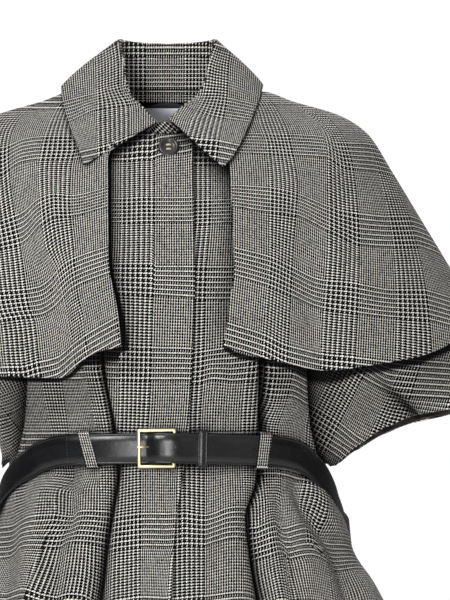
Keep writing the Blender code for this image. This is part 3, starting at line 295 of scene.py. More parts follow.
def smooth(keys, values, at):
    """A cubic through the keys that never overshoots them, level outside their range."""
    keys = np.asarray(keys, float)
    values = np.asarray(values, float)
    at = np.clip(np.asarray(at, float), keys[0], keys[-1])
    steps = np.diff(keys)
    slopes = np.diff(values) / steps
    tangents = np.zeros_like(values)
    tangents[0], tangents[-1] = slopes[0], slopes[-1]
    before, after = slopes[:-1], slopes[1:]
    agree = before * after > 0
    safe = np.where(agree, before + after, 1.0)
    tangents[1:-1] = np.where(agree, 2 * before * after / safe, 0.0)
    index = np.clip(np.searchsorted(keys, at, side="right") - 1, 0, len(steps) - 1)
    u = (at - keys[index]) / steps[index]
    step = steps[index]
    return (
        values[index] * (1 + 2 * u) * (1 - u) ** 2
        + tangents[index] * step * u * (1 - u) ** 2
        + values[index + 1] * u * u * (3 - 2 * u)
        + tangents[index + 1] * step * u * u * (u - 1)
    )


def along(marks, z):
    """x of a line of marks, given top to bottom, at the heights z."""
    return smooth(-marks.z, marks.x, -np.asarray(z, float))


def ramp(value, start, end):
    """0 before start, 1 after end, and smooth between."""
    share = np.clip((np.asarray(value, float) - start) / (end - start), 0.0, 1.0)
    return share * share * (3 - 2 * share)


UP = np.array([0.0, 0.0, 1.0])


def unit(vectors):
    return vectors / np.linalg.norm(vectors, axis=-1, keepdims=True)


def section_point(table, row, phi):
    """The point of a table's loft at a row and an angle: 0 at the left side, -90 degrees in front."""
    row, phi = np.broadcast_arrays(np.asarray(row, float), np.asarray(phi, float))
    keys = np.arange(len(table.half))
    half, front, back, side_z, front_z, back_z = (smooth(keys, column, row) for column in table)
    cosine, sine = np.cos(phi), np.sin(phi)
    shape = 2 / SECTION_POWER
    x = half * np.sign(cosine) * np.abs(cosine) ** shape
    y = np.where(sine < 0, front, back) * np.sign(sine) * np.abs(sine) ** shape
    z = side_z + (np.where(sine < 0, front_z, back_z) - side_z) * np.abs(sine) ** DIP_POWER
    return np.stack([x, y, z], axis=-1)


def outward(table, row, phi):
    """The unit normal of a table's loft, pointing away from the figure."""
    step = 1e-3
    down = section_point(table, row + step, phi) - section_point(table, row - step, phi)
    across = section_point(table, row, phi + step) - section_point(table, row, phi - step)
    return unit(np.cross(down, across))


def phi_at(table, row, x):
    """The angle in front at which a row of the loft reaches x."""
    half = smooth(np.arange(len(table.half)), table.half, row)
    share = np.clip(np.abs(x) / half, 0.0, 1.0) ** (SECTION_POWER / 2)
    angle = np.arccos(share)
    return np.where(np.asarray(x) >= 0, -angle, angle - math.pi)


def solve(low, high, is_past):
    """The value between low and high at which is_past turns true, for each element."""
    low, high = np.array(low, float), np.array(high, float)
    for _ in range(40):
        middle = (low + high) / 2
        past = is_past(middle)
        high = np.where(past, middle, high)
        low = np.where(past, low, middle)
    return (low + high) / 2


def row_at(table, phi, z):
    """The row of the loft whose point at angle phi has the height z."""
    phi, z = np.broadcast_arrays(np.asarray(phi, float), np.asarray(z, float))
    low, high = np.zeros(phi.shape), np.full(phi.shape, len(table.half) - 1.0)
    return solve(low, high, lambda row: section_point(table, row, phi)[..., 2] < z)


def front_place(table, x, z):
    """Row and angle of the loft's point that shows at (x, z) from the front."""
    x, z = np.broadcast_arrays(np.asarray(x, float), np.asarray(z, float))
    half, keys = table.half, np.arange(len(table.half))
    reach = np.full(x.shape, 3.0)  # the rows widen down to this one
    first = solve(np.zeros(x.shape), reach, lambda row: smooth(keys, half, row) > np.abs(x))
    row = solve(
        np.where(np.abs(x) < half[0], 0.0, first),
        np.full(x.shape, len(half) - 1.0),
        lambda row: section_point(table, row, phi_at(table, row, x))[..., 2] < z,
    )
    return row, phi_at(table, row, x)


def groove(distance, width):
    """A smooth valley of depth 1 and the given half width."""
    return np.exp(-((distance / width) ** 2))


# ---------------------------------------------------------------- body panels

FINE = 6  # steps of the shown cloth to one step of the solids
CAD_ROWS = [
    0, 0.5, 1, 1.5, SHOULDER, 2.1, 2.2, 2.35, 2.6, 3, 3.5, 4, 4.5, 5, 5.5, 6, 6.5, 7, 7.46, WAIST,
    8, 9, 10, 11, 12, 13, 14,
]
ARMHOLE_ROWS = [2.2, 2.35, 2.6, 3, 3.5, 4, 4.5, 5, 5.5, 6, 6.5, 7, 7.27]
LAST_ARMHOLE_ROW = 7.46
PLEAT_STEPS = (-1.7, -0.85, 0.0, 0.85, 1.7)  # columns across a pleat, in half widths
SEAM_ANGLE = 0.0015  # half the gap of a shoulder or side seam
BACK_PLEAT_X = 0.075
EDGE_SHARE = 0.25  # a first and last step this short keeps an edge's rounding small


def refined(values, count=FINE):
    """A list of values with a number of equal steps between each two."""
    values = np.asarray(values, float)
    at = np.linspace(0, len(values) - 1, (len(values) - 1) * count + 1)
    return np.interp(at, np.arange(len(values)), values)


def edged(values):
    """Values with one more close to each end."""
    first = values[0] + (values[1] - values[0]) * EDGE_SHARE
    last = values[-1] + (values[-2] - values[-1]) * EDGE_SHARE
    return np.concatenate([values[:1], [first], values[1:-1], [last], values[-1:]])


def pleat_depth(z):
    """How far a pleat sinks in at height z: deepest at cape and hem, shallow under the belt."""
    heights = [0.10, 0.20, 0.28, 0.36, 0.42, 0.50, 0.614]
    return smooth(heights, [0, 0.004, 0.009, 0.006, 0.011, 0.02, 0.028], -z)


def pleat_width(z):
    return smooth([0.28, 0.38, 0.50, 0.614], [0.0075, 0.008, 0.013, 0.019], -z)


def pleat_lines(z):
    """x of the two front pleats, the right one first."""
    return along(PLEAT_RIGHT, z), along(PLEAT_LEFT, z)


Fold = namedtuple("Fold", "rise width marks")  # rise is below zero for a trough


def fold(rise, width, *marks):
    return Fold(rise, width, tabled(Mark, *marks))


BODY_FOLDS = [
    fold(-0.0095, 0.010, (-0.100, -0.385), (-0.103, -0.440), (-0.115, -0.470), (-0.125, -0.640)),
    fold(0.0070, 0.012, (-0.128, -0.400), (-0.140, -0.450), (-0.150, -0.640)),
    fold(-0.0080, 0.012, (-0.168, -0.430), (-0.185, -0.640)),
    fold(-0.0035, 0.008, (-0.086, -0.200), (-0.084, -0.300), (-0.077, -0.346), (-0.077, -0.372)),
    fold(0.0030, 0.016, (-0.020, -0.380), (-0.026, -0.640)),
    fold(-0.0030, 0.016, (0.048, -0.390), (0.052, -0.640)),
    fold(-0.0085, 0.009, (0.117, -0.415), (0.126, -0.466), (0.130, -0.480), (0.142, -0.640)),
    fold(-0.0110, 0.010, (0.134, -0.400), (0.1516, -0.439), (0.1790, -0.476), (0.215, -0.640)),
    fold(0.0065, 0.013, (0.150, -0.405), (0.176, -0.450), (0.200, -0.490), (0.232, -0.640)),
    fold(-0.0025, 0.007, (0.040, -0.300), (0.037, -0.350), (0.037, -0.374)),
    fold(0.0025, 0.009, (-0.020, -0.290), (-0.018, -0.350), (-0.018, -0.372)),
]
BACK_FOLDS = [
    fold(-0.0060, 0.012, (-0.130, -0.430), (-0.150, -0.640)),
    fold(-0.0045, 0.010, (-0.034, -0.460), (-0.042, -0.640)),
    fold(0.0040, 0.014, (-0.006, -0.440), (0.004, -0.640)),
    fold(-0.0055, 0.011, (0.038, -0.455), (0.050, -0.640)),
    fold(-0.0065, 0.013, (0.135, -0.430), (0.160, -0.640)),
    fold(-0.0030, 0.009, (-0.050, -0.300), (-0.046, -0.440)),
    fold(-0.0030, 0.010, (0.056, -0.300), (0.050, -0.440)),
]
FADE = 0.035  # the height over which a fold starts or ends
EDGE_CURL = 0.0015  # how much further off the placket's free edge stands
EDGE_CURL_REACH = 0.008
CUSP = 1.3  # below 2 makes a pleat's bottom sharper than a smooth valley
CRACK_WIDTH = 0.0026
CRACK_DEPTH = 0.0120
VALLEY_DEPTH = 0.030
VALLEY_WIDTH = 0.010
VALLEY_STARTS, VALLEY_ENDS = (4.4, 5.4), (7.1, 7.5)  # BODY rows over which it deepens, and fades


def fold_rise(folds, x, z):
    """How far a set of soft folds lifts the cloth at (x, z)."""
    rise = np.zeros(np.broadcast(x, z).shape)
    for each in folds:
        top, low = -each.marks.z[0], -each.marks.z[-1]
        fade = ramp(-z, top - FADE / 2, top + FADE / 2) * (1 - ramp(-z, low - FADE / 2, low + FADE / 2))
        rise = rise + each.rise * fade * groove(x - along(each.marks, z), each.width)
    return rise


def pleated(distance, width):
    """A valley of depth 1 whose bottom is nearly a crease."""
    return np.exp(-(np.abs(distance / width) ** CUSP))


def crack(x, z):
    """The narrow dark slit at the bottom of each front pleat, 1 where it is deepest."""
    right, left = pleat_lines(z)
    wide = CRACK_WIDTH * smooth([0.26, 0.33, 0.36, 0.614], [1.9, 1.9, 1.0, 1.0], -z)
    return ramp(-z, 0.245, 0.275) * (groove(x - right, CRACK_WIDTH) + groove(x - left, wide))


def valley(row, distance):
    """How far body and sleeve sink in at the lower armhole, a distance from its edge."""
    deep = VALLEY_DEPTH * ramp(row, *VALLEY_STARTS) * (1 - ramp(row, *VALLEY_ENDS))
    return deep * groove(distance, VALLEY_WIDTH)


def body_point(row, phi, lift=0.0):
    """Inner face of the body's cloth, with its pleats and folds, moved out by lift."""
    place = section_point(BODY, row, phi)
    normal = outward(BODY, row, phi)
    x, y, z = place[..., 0], place[..., 1], place[..., 2]
    width = pleat_width(z)
    right, left = pleat_lines(z)
    front = pleated(x - right, width) + pleated(x - left, width)
    back = pleated(x - BACK_PLEAT_X, width) + pleated(x + BACK_PLEAT_X, width)
    sink = pleat_depth(z) * np.where(y < 0, front, back)
    sink = sink + np.where(y < 0, CRACK_DEPTH * crack(x, z), 0.0)
    from_side = np.minimum(np.abs(phi), math.pi - np.abs(phi))
    sink = sink + valley(row, (from_side - armhole_angle(row)) * np.hypot(x, y))
    rise = np.where(y < 0, fold_rise(BODY_FOLDS, x, z), fold_rise(BACK_FOLDS, x, z))
    return place + normal * (lift - sink + rise)[..., None]


def armhole_angle(row):
    return np.radians(smooth(ARMHOLE.row, ARMHOLE.degrees, row))


def outer_angle(row):
    """How far from the side the front and back panels end at a row."""
    closing = np.clip((WAIST - row) / (WAIST - LAST_ARMHOLE_ROW), 0, 1)
    inside = row > SHOULDER
    return np.where(inside, np.maximum(armhole_angle(row) * closing, SEAM_ANGLE), SEAM_ANGLE)


def blend_columns(keys, counts):
    """Values through the keys, with a number of equal steps between each two."""
    steps = [np.linspace(a, b, n + 1)[:-1] for a, b, n in zip(keys[:-1], keys[1:], counts)]
    return np.concatenate([*steps, keys[-1:]])


FRONT_COUNTS = tuple(count * FINE for count in (4, 1, 1, 1, 1, 5))
FITTED_ROW = 3.5  # from this row down the columns follow the pleats


def fitted_angles(row, keys, counts):
    """A panel's columns at a row: even at the shoulder, and fitted to the pleats below it."""
    fitted = blend_columns(keys, counts)
    even = np.linspace(keys[0], keys[-1], len(fitted))
    share = float(ramp(row, SHOULDER, FITTED_ROW))
    return even * (1 - share) + fitted * share


def front_angles(row, side, edge_x):
    """Angles of a front panel's columns at a row, mirrored so that side is +X."""
    z = float(section_point(BODY, row, -math.pi / 2)[2])
    pleat = side * float(pleat_lines(z)[0 if side < 0 else 1])
    width = float(pleat_width(z))
    spots = np.array([edge_x] + [pleat + step * width for step in PLEAT_STEPS])
    keys = np.append(phi_at(BODY, row, spots), -outer_angle(row))
    return edged(fitted_angles(row, keys, FRONT_COUNTS))


def front_grid(side):
    """The panel's inner face, and the same points without folds."""
    cloth = []
    plain = []
    for row in edged(refined(CAD_ROWS)):
        z = float(section_point(BODY, row, -math.pi / 2)[2])
        edge = -float(along(PLACKET_EDGE, z)) if side < 0 else UNDERLAP_X
        phi = front_angles(row, side, edge)
        phi = phi if side > 0 else -math.pi - phi
        lift = np.zeros_like(phi)
        if side < 0:
            x = section_point(BODY, row, phi)[:, 0]
            curl = EDGE_CURL * ramp(x, -edge - EDGE_CURL_REACH, -edge)
            lift = OVERLAP_LIFT * ramp(x, LIFT_START_X, LIFT_END_X) + curl
        cloth.append(body_point(row, phi, lift))
        plain.append(section_point(BODY, row, phi))
    return np.array(cloth), np.array(plain)


def back_angles(row):
    z = float(section_point(BODY, row, math.pi / 2)[2])
    width = float(pleat_width(z))
    spots = np.array([BACK_PLEAT_X - step * width for step in PLEAT_STEPS] + [0.0])
    keys = np.append(outer_angle(row), -phi_at(BODY, row, spots))
    half = fitted_angles(row, keys, FRONT_COUNTS[::-1])
    return edged(np.concatenate([half, (math.pi - half[:-1])[::-1]]))


def back_grid():
    return np.array([body_point(row, back_angles(row)) for row in edged(refined(CAD_ROWS))])


# ---------------------------------------------------------------- sleeves

SLEEVE_ROWS = 8 * FINE
RING_FINE = 4
REACH_AT_ARMHOLE = 0.11  # turns a gap on the cloth there into an angle
SLEEVE_TOP_ROW = SHOULDER + 0.16  # the BODY row of the armhole's top point

SLEEVE_FOLDS = [  # share of the way from the outer end to the waist, half width, depth, start down
    (0.465, 0.016, 0.0140, 0.30), (0.60, 0.030, 0.0050, 0.35), (0.76, 0.035, 0.0060, 0.45),
    (0.25, 0.035, 0.0045, 0.40),
]


def armhole_loop(side):
    """The sleeve's first ring, just inside the body's armhole: top, front, underarm, back."""
    rows = refined(ARMHOLE_ROWS, RING_FINE)
    angle = armhole_angle(rows) - CREASE_GAP / REACH_AT_ARMHOLE
    sink = valley(rows, -CREASE_GAP)[:, None]
    front = section_point(BODY, rows, -angle) - outward(BODY, rows, -angle) * sink
    back = section_point(BODY, rows, angle) - outward(BODY, rows, angle) * sink
    top = section_point(BODY, SLEEVE_TOP_ROW, 0.0)[None]
    bottom = section_point(BODY, rows[-1], 0.0)[None]
    loop = np.concatenate([top, front, bottom, back[::-1]])
    return loop * (side, 1, 1)


def ring_shares():
    """Share of the way from the outer end to the waist, for one half of a sleeve's rings."""
    steps = len(ARMHOLE_ROWS) + 1
    inner = (1 + np.arange((len(ARMHOLE_ROWS) - 1) * RING_FINE + 1) / RING_FINE) / steps
    return np.concatenate([[0.0], inner, [1.0]])


def mouth_loop(end, count):
    """The sleeve's last ring: outer end, front edge in to the waist, underarm, back edge."""
    mouth = end.table
    keys = np.arange(len(mouth.x))
    at = np.linspace(MOUTH_START, len(keys) - 1, count)
    x = smooth(keys, mouth.x * end.side, at) * end.side
    z = smooth(keys, mouth.z, at)
    depth = smooth(keys, mouth.depth, at)
    drop = BACK_MOUTH_DROP * np.sin(np.pi * np.linspace(0, 1, count))
    front = np.stack([x, -depth, z], axis=-1)
    back = np.stack([x, depth, z - drop], axis=-1)
    top = np.array([[mouth.x[0], 0.0, mouth.z[0]]])
    return np.concatenate([top, front, [end.underarm], back[::-1]])


def sleeve_grid(end):
    """Inner face of a sleeve, from armhole to mouth."""
    start = armhole_loop(end.side)
    count = (len(start) - 2) // 2
    stop = mouth_loop(end, count)
    shares = ring_shares()
    across = np.concatenate([shares[:-1], shares[1:][::-1]])
    fullness = np.sin(np.pi * across)
    facing = np.concatenate([[0.0], -np.ones(count), [0.0], np.ones(count)])
    topness = np.cos(np.pi * across / 2) ** 2
    pull = [end.side * SLEEVE_TOP_PULL * topness, facing * SLEEVE_BULGE * fullness, 0 * topness]
    middle = (start + stop) / 2 + np.stack(pull, axis=-1)
    v = edged(np.linspace(0, 1, SLEEVE_ROWS + 1))[:, None, None]
    cloth = start * (1 - v) ** 2 + middle * 2 * v * (1 - v) + stop * v * v
    down = v[..., 0]
    sink = SLEEVE_FOLD_DEPTH * ramp(down, 0.2, 1.0) * groove(across - SLEEVE_FOLD_AT, SLEEVE_FOLD_WIDTH)
    for place, width, depth, begin in SLEEVE_FOLDS:
        sink = sink + depth * ramp(down, begin, 1.0) * groove(across - place, width)
    cloth[..., 1] -= facing * sink
    return cloth


def moved_in(grid, distance):
    """A grid of closed rows moved towards its inside along its own normals."""
    around = np.roll(grid, -1, axis=1) - np.roll(grid, 1, axis=1)
    normal = unit(np.cross(around, np.gradient(grid, axis=0)))
    inside = grid.mean(axis=1, keepdims=True) - grid
    return grid + normal * np.sign((normal * inside).sum(axis=-1).mean()) * distance


def sleeve_lining_grid(end):
    """The lining just inside the mouth: the sleeve's own last stretch, moved in, short of the edge."""
    strip = sleeve_grid(end)[-2 * FINE - 2:]
    columns = strip.shape[1]
    from_underarm = np.abs(np.arange(columns) * 2 / columns - 1)
    distance = SLEEVE_LINING_OFF * (1 + 0.5 * groove(from_underarm, 0.15))
    strip = moved_in(strip, distance[None, :, None])
    reach = (strip[-1] - strip[-4]) * (1 - LINING_REACH)
    return strip - reach * np.linspace(0, 1, len(strip))[:, None, None]


# ---------------------------------------------------------------- capelet

CAPE_ROWS = 13 * FINE
CAPE_COLUMNS = 13 * FINE


def cape_point(row, phi, lift=0.0):
    """Inner face of the capelet, with its soft troughs, moved out by lift."""
    place = section_point(CAPE, row, phi)
    normal = outward(CAPE, row, phi)
    x, y, z = place[..., 0], place[..., 1], place[..., 2]
    troughs = [groove(x - along(marks, z), TROUGH_WIDTH) for marks in (TROUGH_RIGHT, TROUGH_LEFT)]
    back = groove(np.abs(x) - TROUGH_BACK_X, TROUGH_WIDTH)
    sink = TROUGH_DEPTH * ramp(-z, 0.04, 0.26) * np.where(y < 0, sum(troughs), back)
    return place + normal * (lift - sink)[..., None]


def hem_row(phi, hem):
    """The row at which each column of the capelet reaches its hem."""

    def is_past(row):
        place = section_point(CAPE, row, phi)
        return place[..., 2] < smooth(hem.x, hem.z, np.abs(place[..., 0]))

    return solve(np.full(phi.shape, 3.0), np.full(phi.shape, len(CAPE.half) - 1.0), is_past)


def edge_angle(row, side, marks):
    """The angle of the capelet's front edge at a row."""

    def is_past(phi):
        place = section_point(CAPE, row, phi)
        return side * place[..., 0] > side * along(marks, place[..., 2])

    middle = np.full(np.shape(row), -math.pi / 2)
    outer = np.full(np.shape(row), -0.05 if side > 0 else -math.pi + 0.05)
    return solve(middle, outer, is_past)


def cape_front_grid(side):
    """A front cape panel's inner face, and the same points without folds."""
    marks = CAPE_EDGE_LEFT if side > 0 else CAPE_EDGE_RIGHT
    hem = CAPE_HEM_LEFT if side > 0 else CAPE_HEM_RIGHT
    seam = -SEAM_ANGLE if side > 0 else -math.pi + SEAM_ANGLE
    share = edged(np.linspace(0, 1, CAPE_COLUMNS + 1))
    down = edged(np.linspace(0, 1, CAPE_ROWS + 1))
    start = float(edge_angle(np.array(8.0), side, marks))
    phi_hem = start + (seam - start) * share
    last = hem_row(phi_hem, hem)
    cloth = []
    plain = []
    for share_down in down:
        row = last * share_down
        edge = float(edge_angle(np.array(row[0]), side, marks))
        phi = edge + (seam - edge) * share
        cloth.append(cape_point(row, phi))
        plain.append(section_point(CAPE, row, phi))
    return np.array(cloth), np.array(plain)


def cape_back_grid():
    share = edged(np.linspace(0, 1, 2 * CAPE_COLUMNS + 1))
    phi = SEAM_ANGLE + (math.pi - 2 * SEAM_ANGLE) * share
    last = hem_row(phi, CAPE_HEM_BACK)
    return np.array([cape_point(last * down, phi) for down in edged(np.linspace(0, 1, CAPE_ROWS + 1))])


# ---------------------------------------------------------------- collar

COLLAR_COLUMNS = 90  # each side of the back
STAND_STEPS = 26
COLLAR_TURN = 60  # columns from an end at which the charted front gives way to the back
COLLAR_BLEND = 8  # columns over which it does
FALL_SHARES = np.linspace(0, 1, 31)[1:]
ROLL_SMOOTHING = 4  # passes that round the crest


def neck_point(psi, up, ride=0.0):
    """A point at an angle from the back, a share of the band's height above the panels' top edge."""
    phi = math.pi / 2 - psi
    seat = section_point(BODY, 0.0, phi)
    inward = unit(-seat * (1, 1, 0))
    top = CLOTH + 2 * GAP + np.broadcast_to(ride, phi.shape)
    place = seat + outward(BODY, 0.0, phi) * top[..., None] + inward * BAND_SETBACK
    return place + (inward * BAND_INSET + UP * BAND_HEIGHT) * up


def band_ride(degrees):
    """How far out the band lies: its right front end passes over its left one."""
    return OVERLAP_LIFT * (1 - ramp(degrees, *BAND_CROSSING))


def collar_curves(table, side):
    """Base, crest and outer edge of half the collar, from the back to its front end."""
    psi = np.linspace(0, table.psi[-1], COLLAR_COLUMNS + 1)
    _, *columns = (smooth(table.psi, column, psi) for column in table)
    crest = np.stack(columns[:3], axis=-1) * (side, 1, 1)
    edge = np.stack(columns[3:], axis=-1) * (side, 1, 1)
    row, phi = front_place(CAPE, edge[:, 0], edge[:, 2])
    resting = cape_point(row, phi, np.full(phi.shape, CLOTH + COLLAR_CLEAR))
    in_front = psi > COLLAR_RESTS_FROM
    edge[in_front, 1] = np.minimum(edge[in_front, 1], resting[in_front, 1])
    base = neck_point(side * np.radians(psi), 1.0 + 2 * GAP / BAND_HEIGHT, band_ride(side * psi))
    return base, crest, edge


def collar_profile(base, crest, edge):
    """Rows from the band up to the crest and down the fall, rounded where it rolls over."""
    away = unit((edge - crest) * (1, 1, 0))
    sag = COLLAR_SAG * ramp(np.linspace(0, 1, len(crest)), COLLAR_SAG_FROM, 1.0)
    rows = [base + (crest - base) * share for share in np.linspace(0, 1, STAND_STEPS + 1)[:-1]]
    rows.append(crest)
    for share in FALL_SHARES:
        lift = COLLAR_STAND_OFF * math.sin(math.pi * share) ** 0.7
        drop = sag * math.sin(math.pi * share**1.3)
        out = away * (lift + COLLAR_SAG_OUT * drop)[:, None]
        rows.append(crest + (edge - crest) * share + out + UP * (lift * 0.6 - drop)[:, None])
    rows = np.array(rows)
    for _ in range(ROLL_SMOOTHING):
        rows[1:-1] = rows[1:-1] / 2 + (rows[:-2] + rows[2:]) / 4
    return rows


def collar_grid():
    right = collar_profile(*collar_curves(COLLAR_RIGHT, -1.0))
    left = collar_profile(*collar_curves(COLLAR_LEFT, 1.0))
    return np.concatenate([right[:, ::-1], left[:, 1:]], axis=1)


BAND_COLUMNS = 200
BAND_START = math.radians(-190.0)  # the right front end, crossing over the left one
BAND_END = math.radians(166.0)


def band_grid():
    """The band round the neck, its right end riding over its left one in front."""
    psi = np.linspace(BAND_START, BAND_END, BAND_COLUMNS + 1)
    ride = band_ride(np.degrees(psi))
    return np.array([neck_point(psi, up, ride) for up in edged(np.linspace(0, 1, 5))])


# ---------------------------------------------------------------- belt and buckle


def degrees_round(phi):
    """Degrees round from the front, below zero on the wearer's right."""
    return (np.degrees(phi) + 270) % 360 - 180


def belt_centre_z(phi):
    """Height of the belt's centre line at an angle."""
    turned = degrees_round(phi)
    right, left = (smooth(BELT_LINE.degrees, z, np.abs(turned)) for z in BELT_LINE[1:])
    return np.where(turned < 0, right, left)


def belt_ring(phi):
    """The belt's path on the cloth: the widest ring that its height meets, at its centre height."""
    phi = np.asarray(phi, float)
    centre_z = belt_centre_z(phi)
    best, far = 0.0, np.zeros(phi.shape)
    for level in (BELT_HEIGHT / 2, 0.0, -BELT_HEIGHT / 2):
        row = row_at(BODY, phi, centre_z + level)
        place = section_point(BODY, row, phi) + outward(BODY, row, phi) * CLOTH
        place[..., 2] = centre_z
        reach = np.hypot(place[..., 0], place[..., 1])
        best = np.where((reach > far)[..., None], place, best)
        far = np.maximum(reach, far)
    return best


BELT_ROW = 6.9  # the BODY row that the buckle lies on
BELT_TILT = math.radians(20)  # on the hips, which spread below the waist: the top edge leans in
TILT_STARTS, TILT_ENDS = (45, 72), (82, 105)  # degrees round from the front
OVERLAP_ENDS = (35, 60)  # degrees round, where the strap comes to lie close


def belt_frame(phi):
    """Place on the path, and the directions along it, outwards and up, at each angle."""
    step = 0.01
    forward = unit(belt_ring(phi + step) - belt_ring(phi - step))
    out = unit(np.cross(forward, UP))
    up = np.cross(out, forward)
    turned = np.abs(degrees_round(phi))
    tilt = BELT_TILT * (ramp(turned, *TILT_STARTS) - ramp(turned, *TILT_ENDS))[..., None]
    tilted = up * np.cos(tilt) - out * np.sin(tilt)
    place = belt_ring(phi) + (tilted - up) * (BELT_HEIGHT / 2)
    return place, forward, out * np.cos(tilt) + up * np.sin(tilt), tilted


def belt_slack(phi):
    """Inner face of the belt outwards from its path: proud over the overlap, close at the sides."""
    turned = np.abs(degrees_round(phi))
    return BELT_OUT + (BELT_SIDE_OUT - BELT_OUT) * ramp(turned, *OVERLAP_ENDS)


def front_phi(x):
    return phi_at(BODY, BELT_ROW, np.asarray(x, float))


LAYER = BELT_THICK / 2  # from a layer's face to its middle
BAR_OUT = BELT_OUT + BELT_THICK + GAP + BAR_RADIUS
TAIL_OUT = BELT_OUT + BELT_THICK + GAP + LAYER
OVER_BAR_OUT = BAR_OUT + BAR_RADIUS + GAP + LAYER


def belt_path():
    """Angle and distance out of the strap's middle, from its end at the bar round to its tail."""
    turn = BAR_RADIUS + GAP + LAYER
    curl = np.radians([85, 55, 25, 0])
    around = np.linspace(front_phi(0.020), front_phi(-0.040) + 2 * math.pi, 61)
    rise_x = [-0.0280, -0.0215, -0.0165, -0.0110, -0.0050, 0.0010]
    rise = np.array([0.0, 0.03, 0.30, 0.66, 0.86, 0.97])
    fall_x = [0.0055, 0.0105, 0.0165, 0.0230, 0.0290]
    fall = np.array([1.0, 0.94, 0.68, 0.28, 0.0])
    tail_x = np.linspace(0.036, TAIL_END_X, 8)
    over_x = np.concatenate([rise_x, fall_x, tail_x])
    phi = [front_phi(BUCKLE_BAR_X - turn * np.sin(curl)), around, front_phi(over_x) + 2 * math.pi]
    low = BELT_OUT + LAYER
    out = [
        BAR_OUT - turn * np.cos(curl), belt_slack(around) + LAYER, low + rise * (OVER_BAR_OUT - low),
        TAIL_OUT + fall * (OVER_BAR_OUT - TAIL_OUT), np.full(len(tail_x), TAIL_OUT),
    ]
    return np.concatenate(phi), np.concatenate(out)


def on_belt(x, out, up=0.0):
    """A point on the belt's front by its x, distance out and height above its middle."""
    place, _, outwards, upwards = belt_frame(front_phi(x))
    return place + outwards * np.asarray(out)[..., None] + upwards * np.asarray(up)[..., None]


def rounded(low, high, half, corner, steps):
    """A rectangle with round corners, from low to high and half each way up, as a closed path."""
    path = []
    for across, up, start in (
        (low + corner, -half + corner, 180), (high - corner, -half + corner, 270),
        (high - corner, half - corner, 0), (low + corner, half - corner, 90),
    ):
        for angle in np.radians(np.linspace(start, start + 90, steps)):
            path.append((across + corner * math.cos(angle), up + corner * math.sin(angle)))
    return np.array(path)


def buckle_path():
    """Middle line of the frame: left bar over the strap, hidden bar under the tail."""
    x, up = rounded(BUCKLE_LEFT_X, BUCKLE_BAR_X, BUCKLE_HEIGHT / 2, BUCKLE_CORNER, 4).T
    return on_belt(x, np.full(x.shape, BAR_OUT), up)


HOLE_UP = 0.0015  # the holes' line above the strap's middle


def prong_path():
    rise = [
        (BUCKLE_BAR_X - BAR_RADIUS - PRONG_RADIUS - GAP * 2, BAR_OUT + 0.0002),
        (-0.0040, BAR_OUT - 0.0013),
        (-0.0110, BAR_OUT - 0.0027),
        (-0.0165, BAR_OUT - 0.0033),
        (-0.0200, BAR_OUT - 0.0020),
        (-0.0225, BAR_OUT + 0.0008),
        (-0.0255, BAR_OUT + BAR_RADIUS + PRONG_RADIUS + GAP),
        (BUCKLE_LEFT_X - 0.0012, BAR_OUT + BAR_RADIUS + PRONG_RADIUS + GAP),
    ]
    x, out = np.array(rise).T
    return on_belt(x, out, np.full(x.shape, HOLE_UP))


LoopPlace = namedtuple("LoopPlace", "name phi out slant")


def loop_places():
    """The four cloth loops: where each crosses the belt, how far out the belt stands there."""
    back_right, back_left = math.pi - math.radians(46.0), math.radians(48.0)
    return [
        LoopPlace("belt_loop_front_right", float(front_phi(-0.0805)), BELT_OUT + BELT_THICK, 0.24),
        LoopPlace("belt_loop_front_left", float(front_phi(0.0970)), TAIL_OUT + LAYER, -0.08),
        LoopPlace("belt_loop_back_right", back_right, float(belt_slack(back_right)) + BELT_THICK, 0.0),
        LoopPlace("belt_loop_back_left", back_left, float(belt_slack(back_left)) + BELT_THICK, 0.0),
    ]


def bearing(phi, z):
    """Compass direction of the body's surface at a section angle and height."""
    place = section_point(BODY, row_at(BODY, phi, z), phi)
    return np.arctan2(place[..., 1], place[..., 0])


def on_cloth(points):
    """The cloth's smooth outer face, a gap out, at the direction and height of each point."""
    target = np.arctan2(points[..., 1], points[..., 0])
    z = points[..., 2]
    phi = solve(target - 0.6, target + 0.6, lambda angle: np.sin(bearing(angle, z) - target) > 0)
    row = row_at(BODY, phi, z)
    return section_point(BODY, row, phi) + outward(BODY, row, phi) * (CLOTH + 3 * GAP)

def inside_back(x, z, depth):
    """Points a depth inside the back panel's inner face, at x and z seen from the front."""
    phi = -phi_at(BODY, 0.5, x)
    for _ in range(12):
        row = row_at(BODY, phi, z)
        phi = -phi_at(BODY, row, x)
    return body_point(row, phi, np.full(phi.shape, -depth))


def neck_lining_grid():
    """Lining on the inside of the back, under the collar."""
    x = np.linspace(-NECK_LINING_HALF, NECK_LINING_HALF, 13)
    top = NECK_LINING_TOP_Z - NECK_LINING_BEND * x * x / NECK_LINING_HALF
    levels = [top * (1 - share) + NECK_LINING_LOW_Z * share for share in np.linspace(0, 1, 5)]
    return np.array([inside_back(x, z, LINING_STAND_OFF) for z in levels]) + LINING_SHIFT


def label_grid():
    """The label, on the inside of the lining."""
    x = LABEL_X + np.linspace(-LABEL_WIDTH / 2, LABEL_WIDTH / 2, 7)
    levels = np.linspace(LABEL_TOP_Z, LABEL_LOW_Z, 3)
    depth = LINING_STAND_OFF + THIN_CLOTH + 3 * GAP
    return np.array([inside_back(x, np.full(x.shape, z), depth) for z in levels]) + LINING_SHIFT


# ---------------------------------------------------------------- the reference view

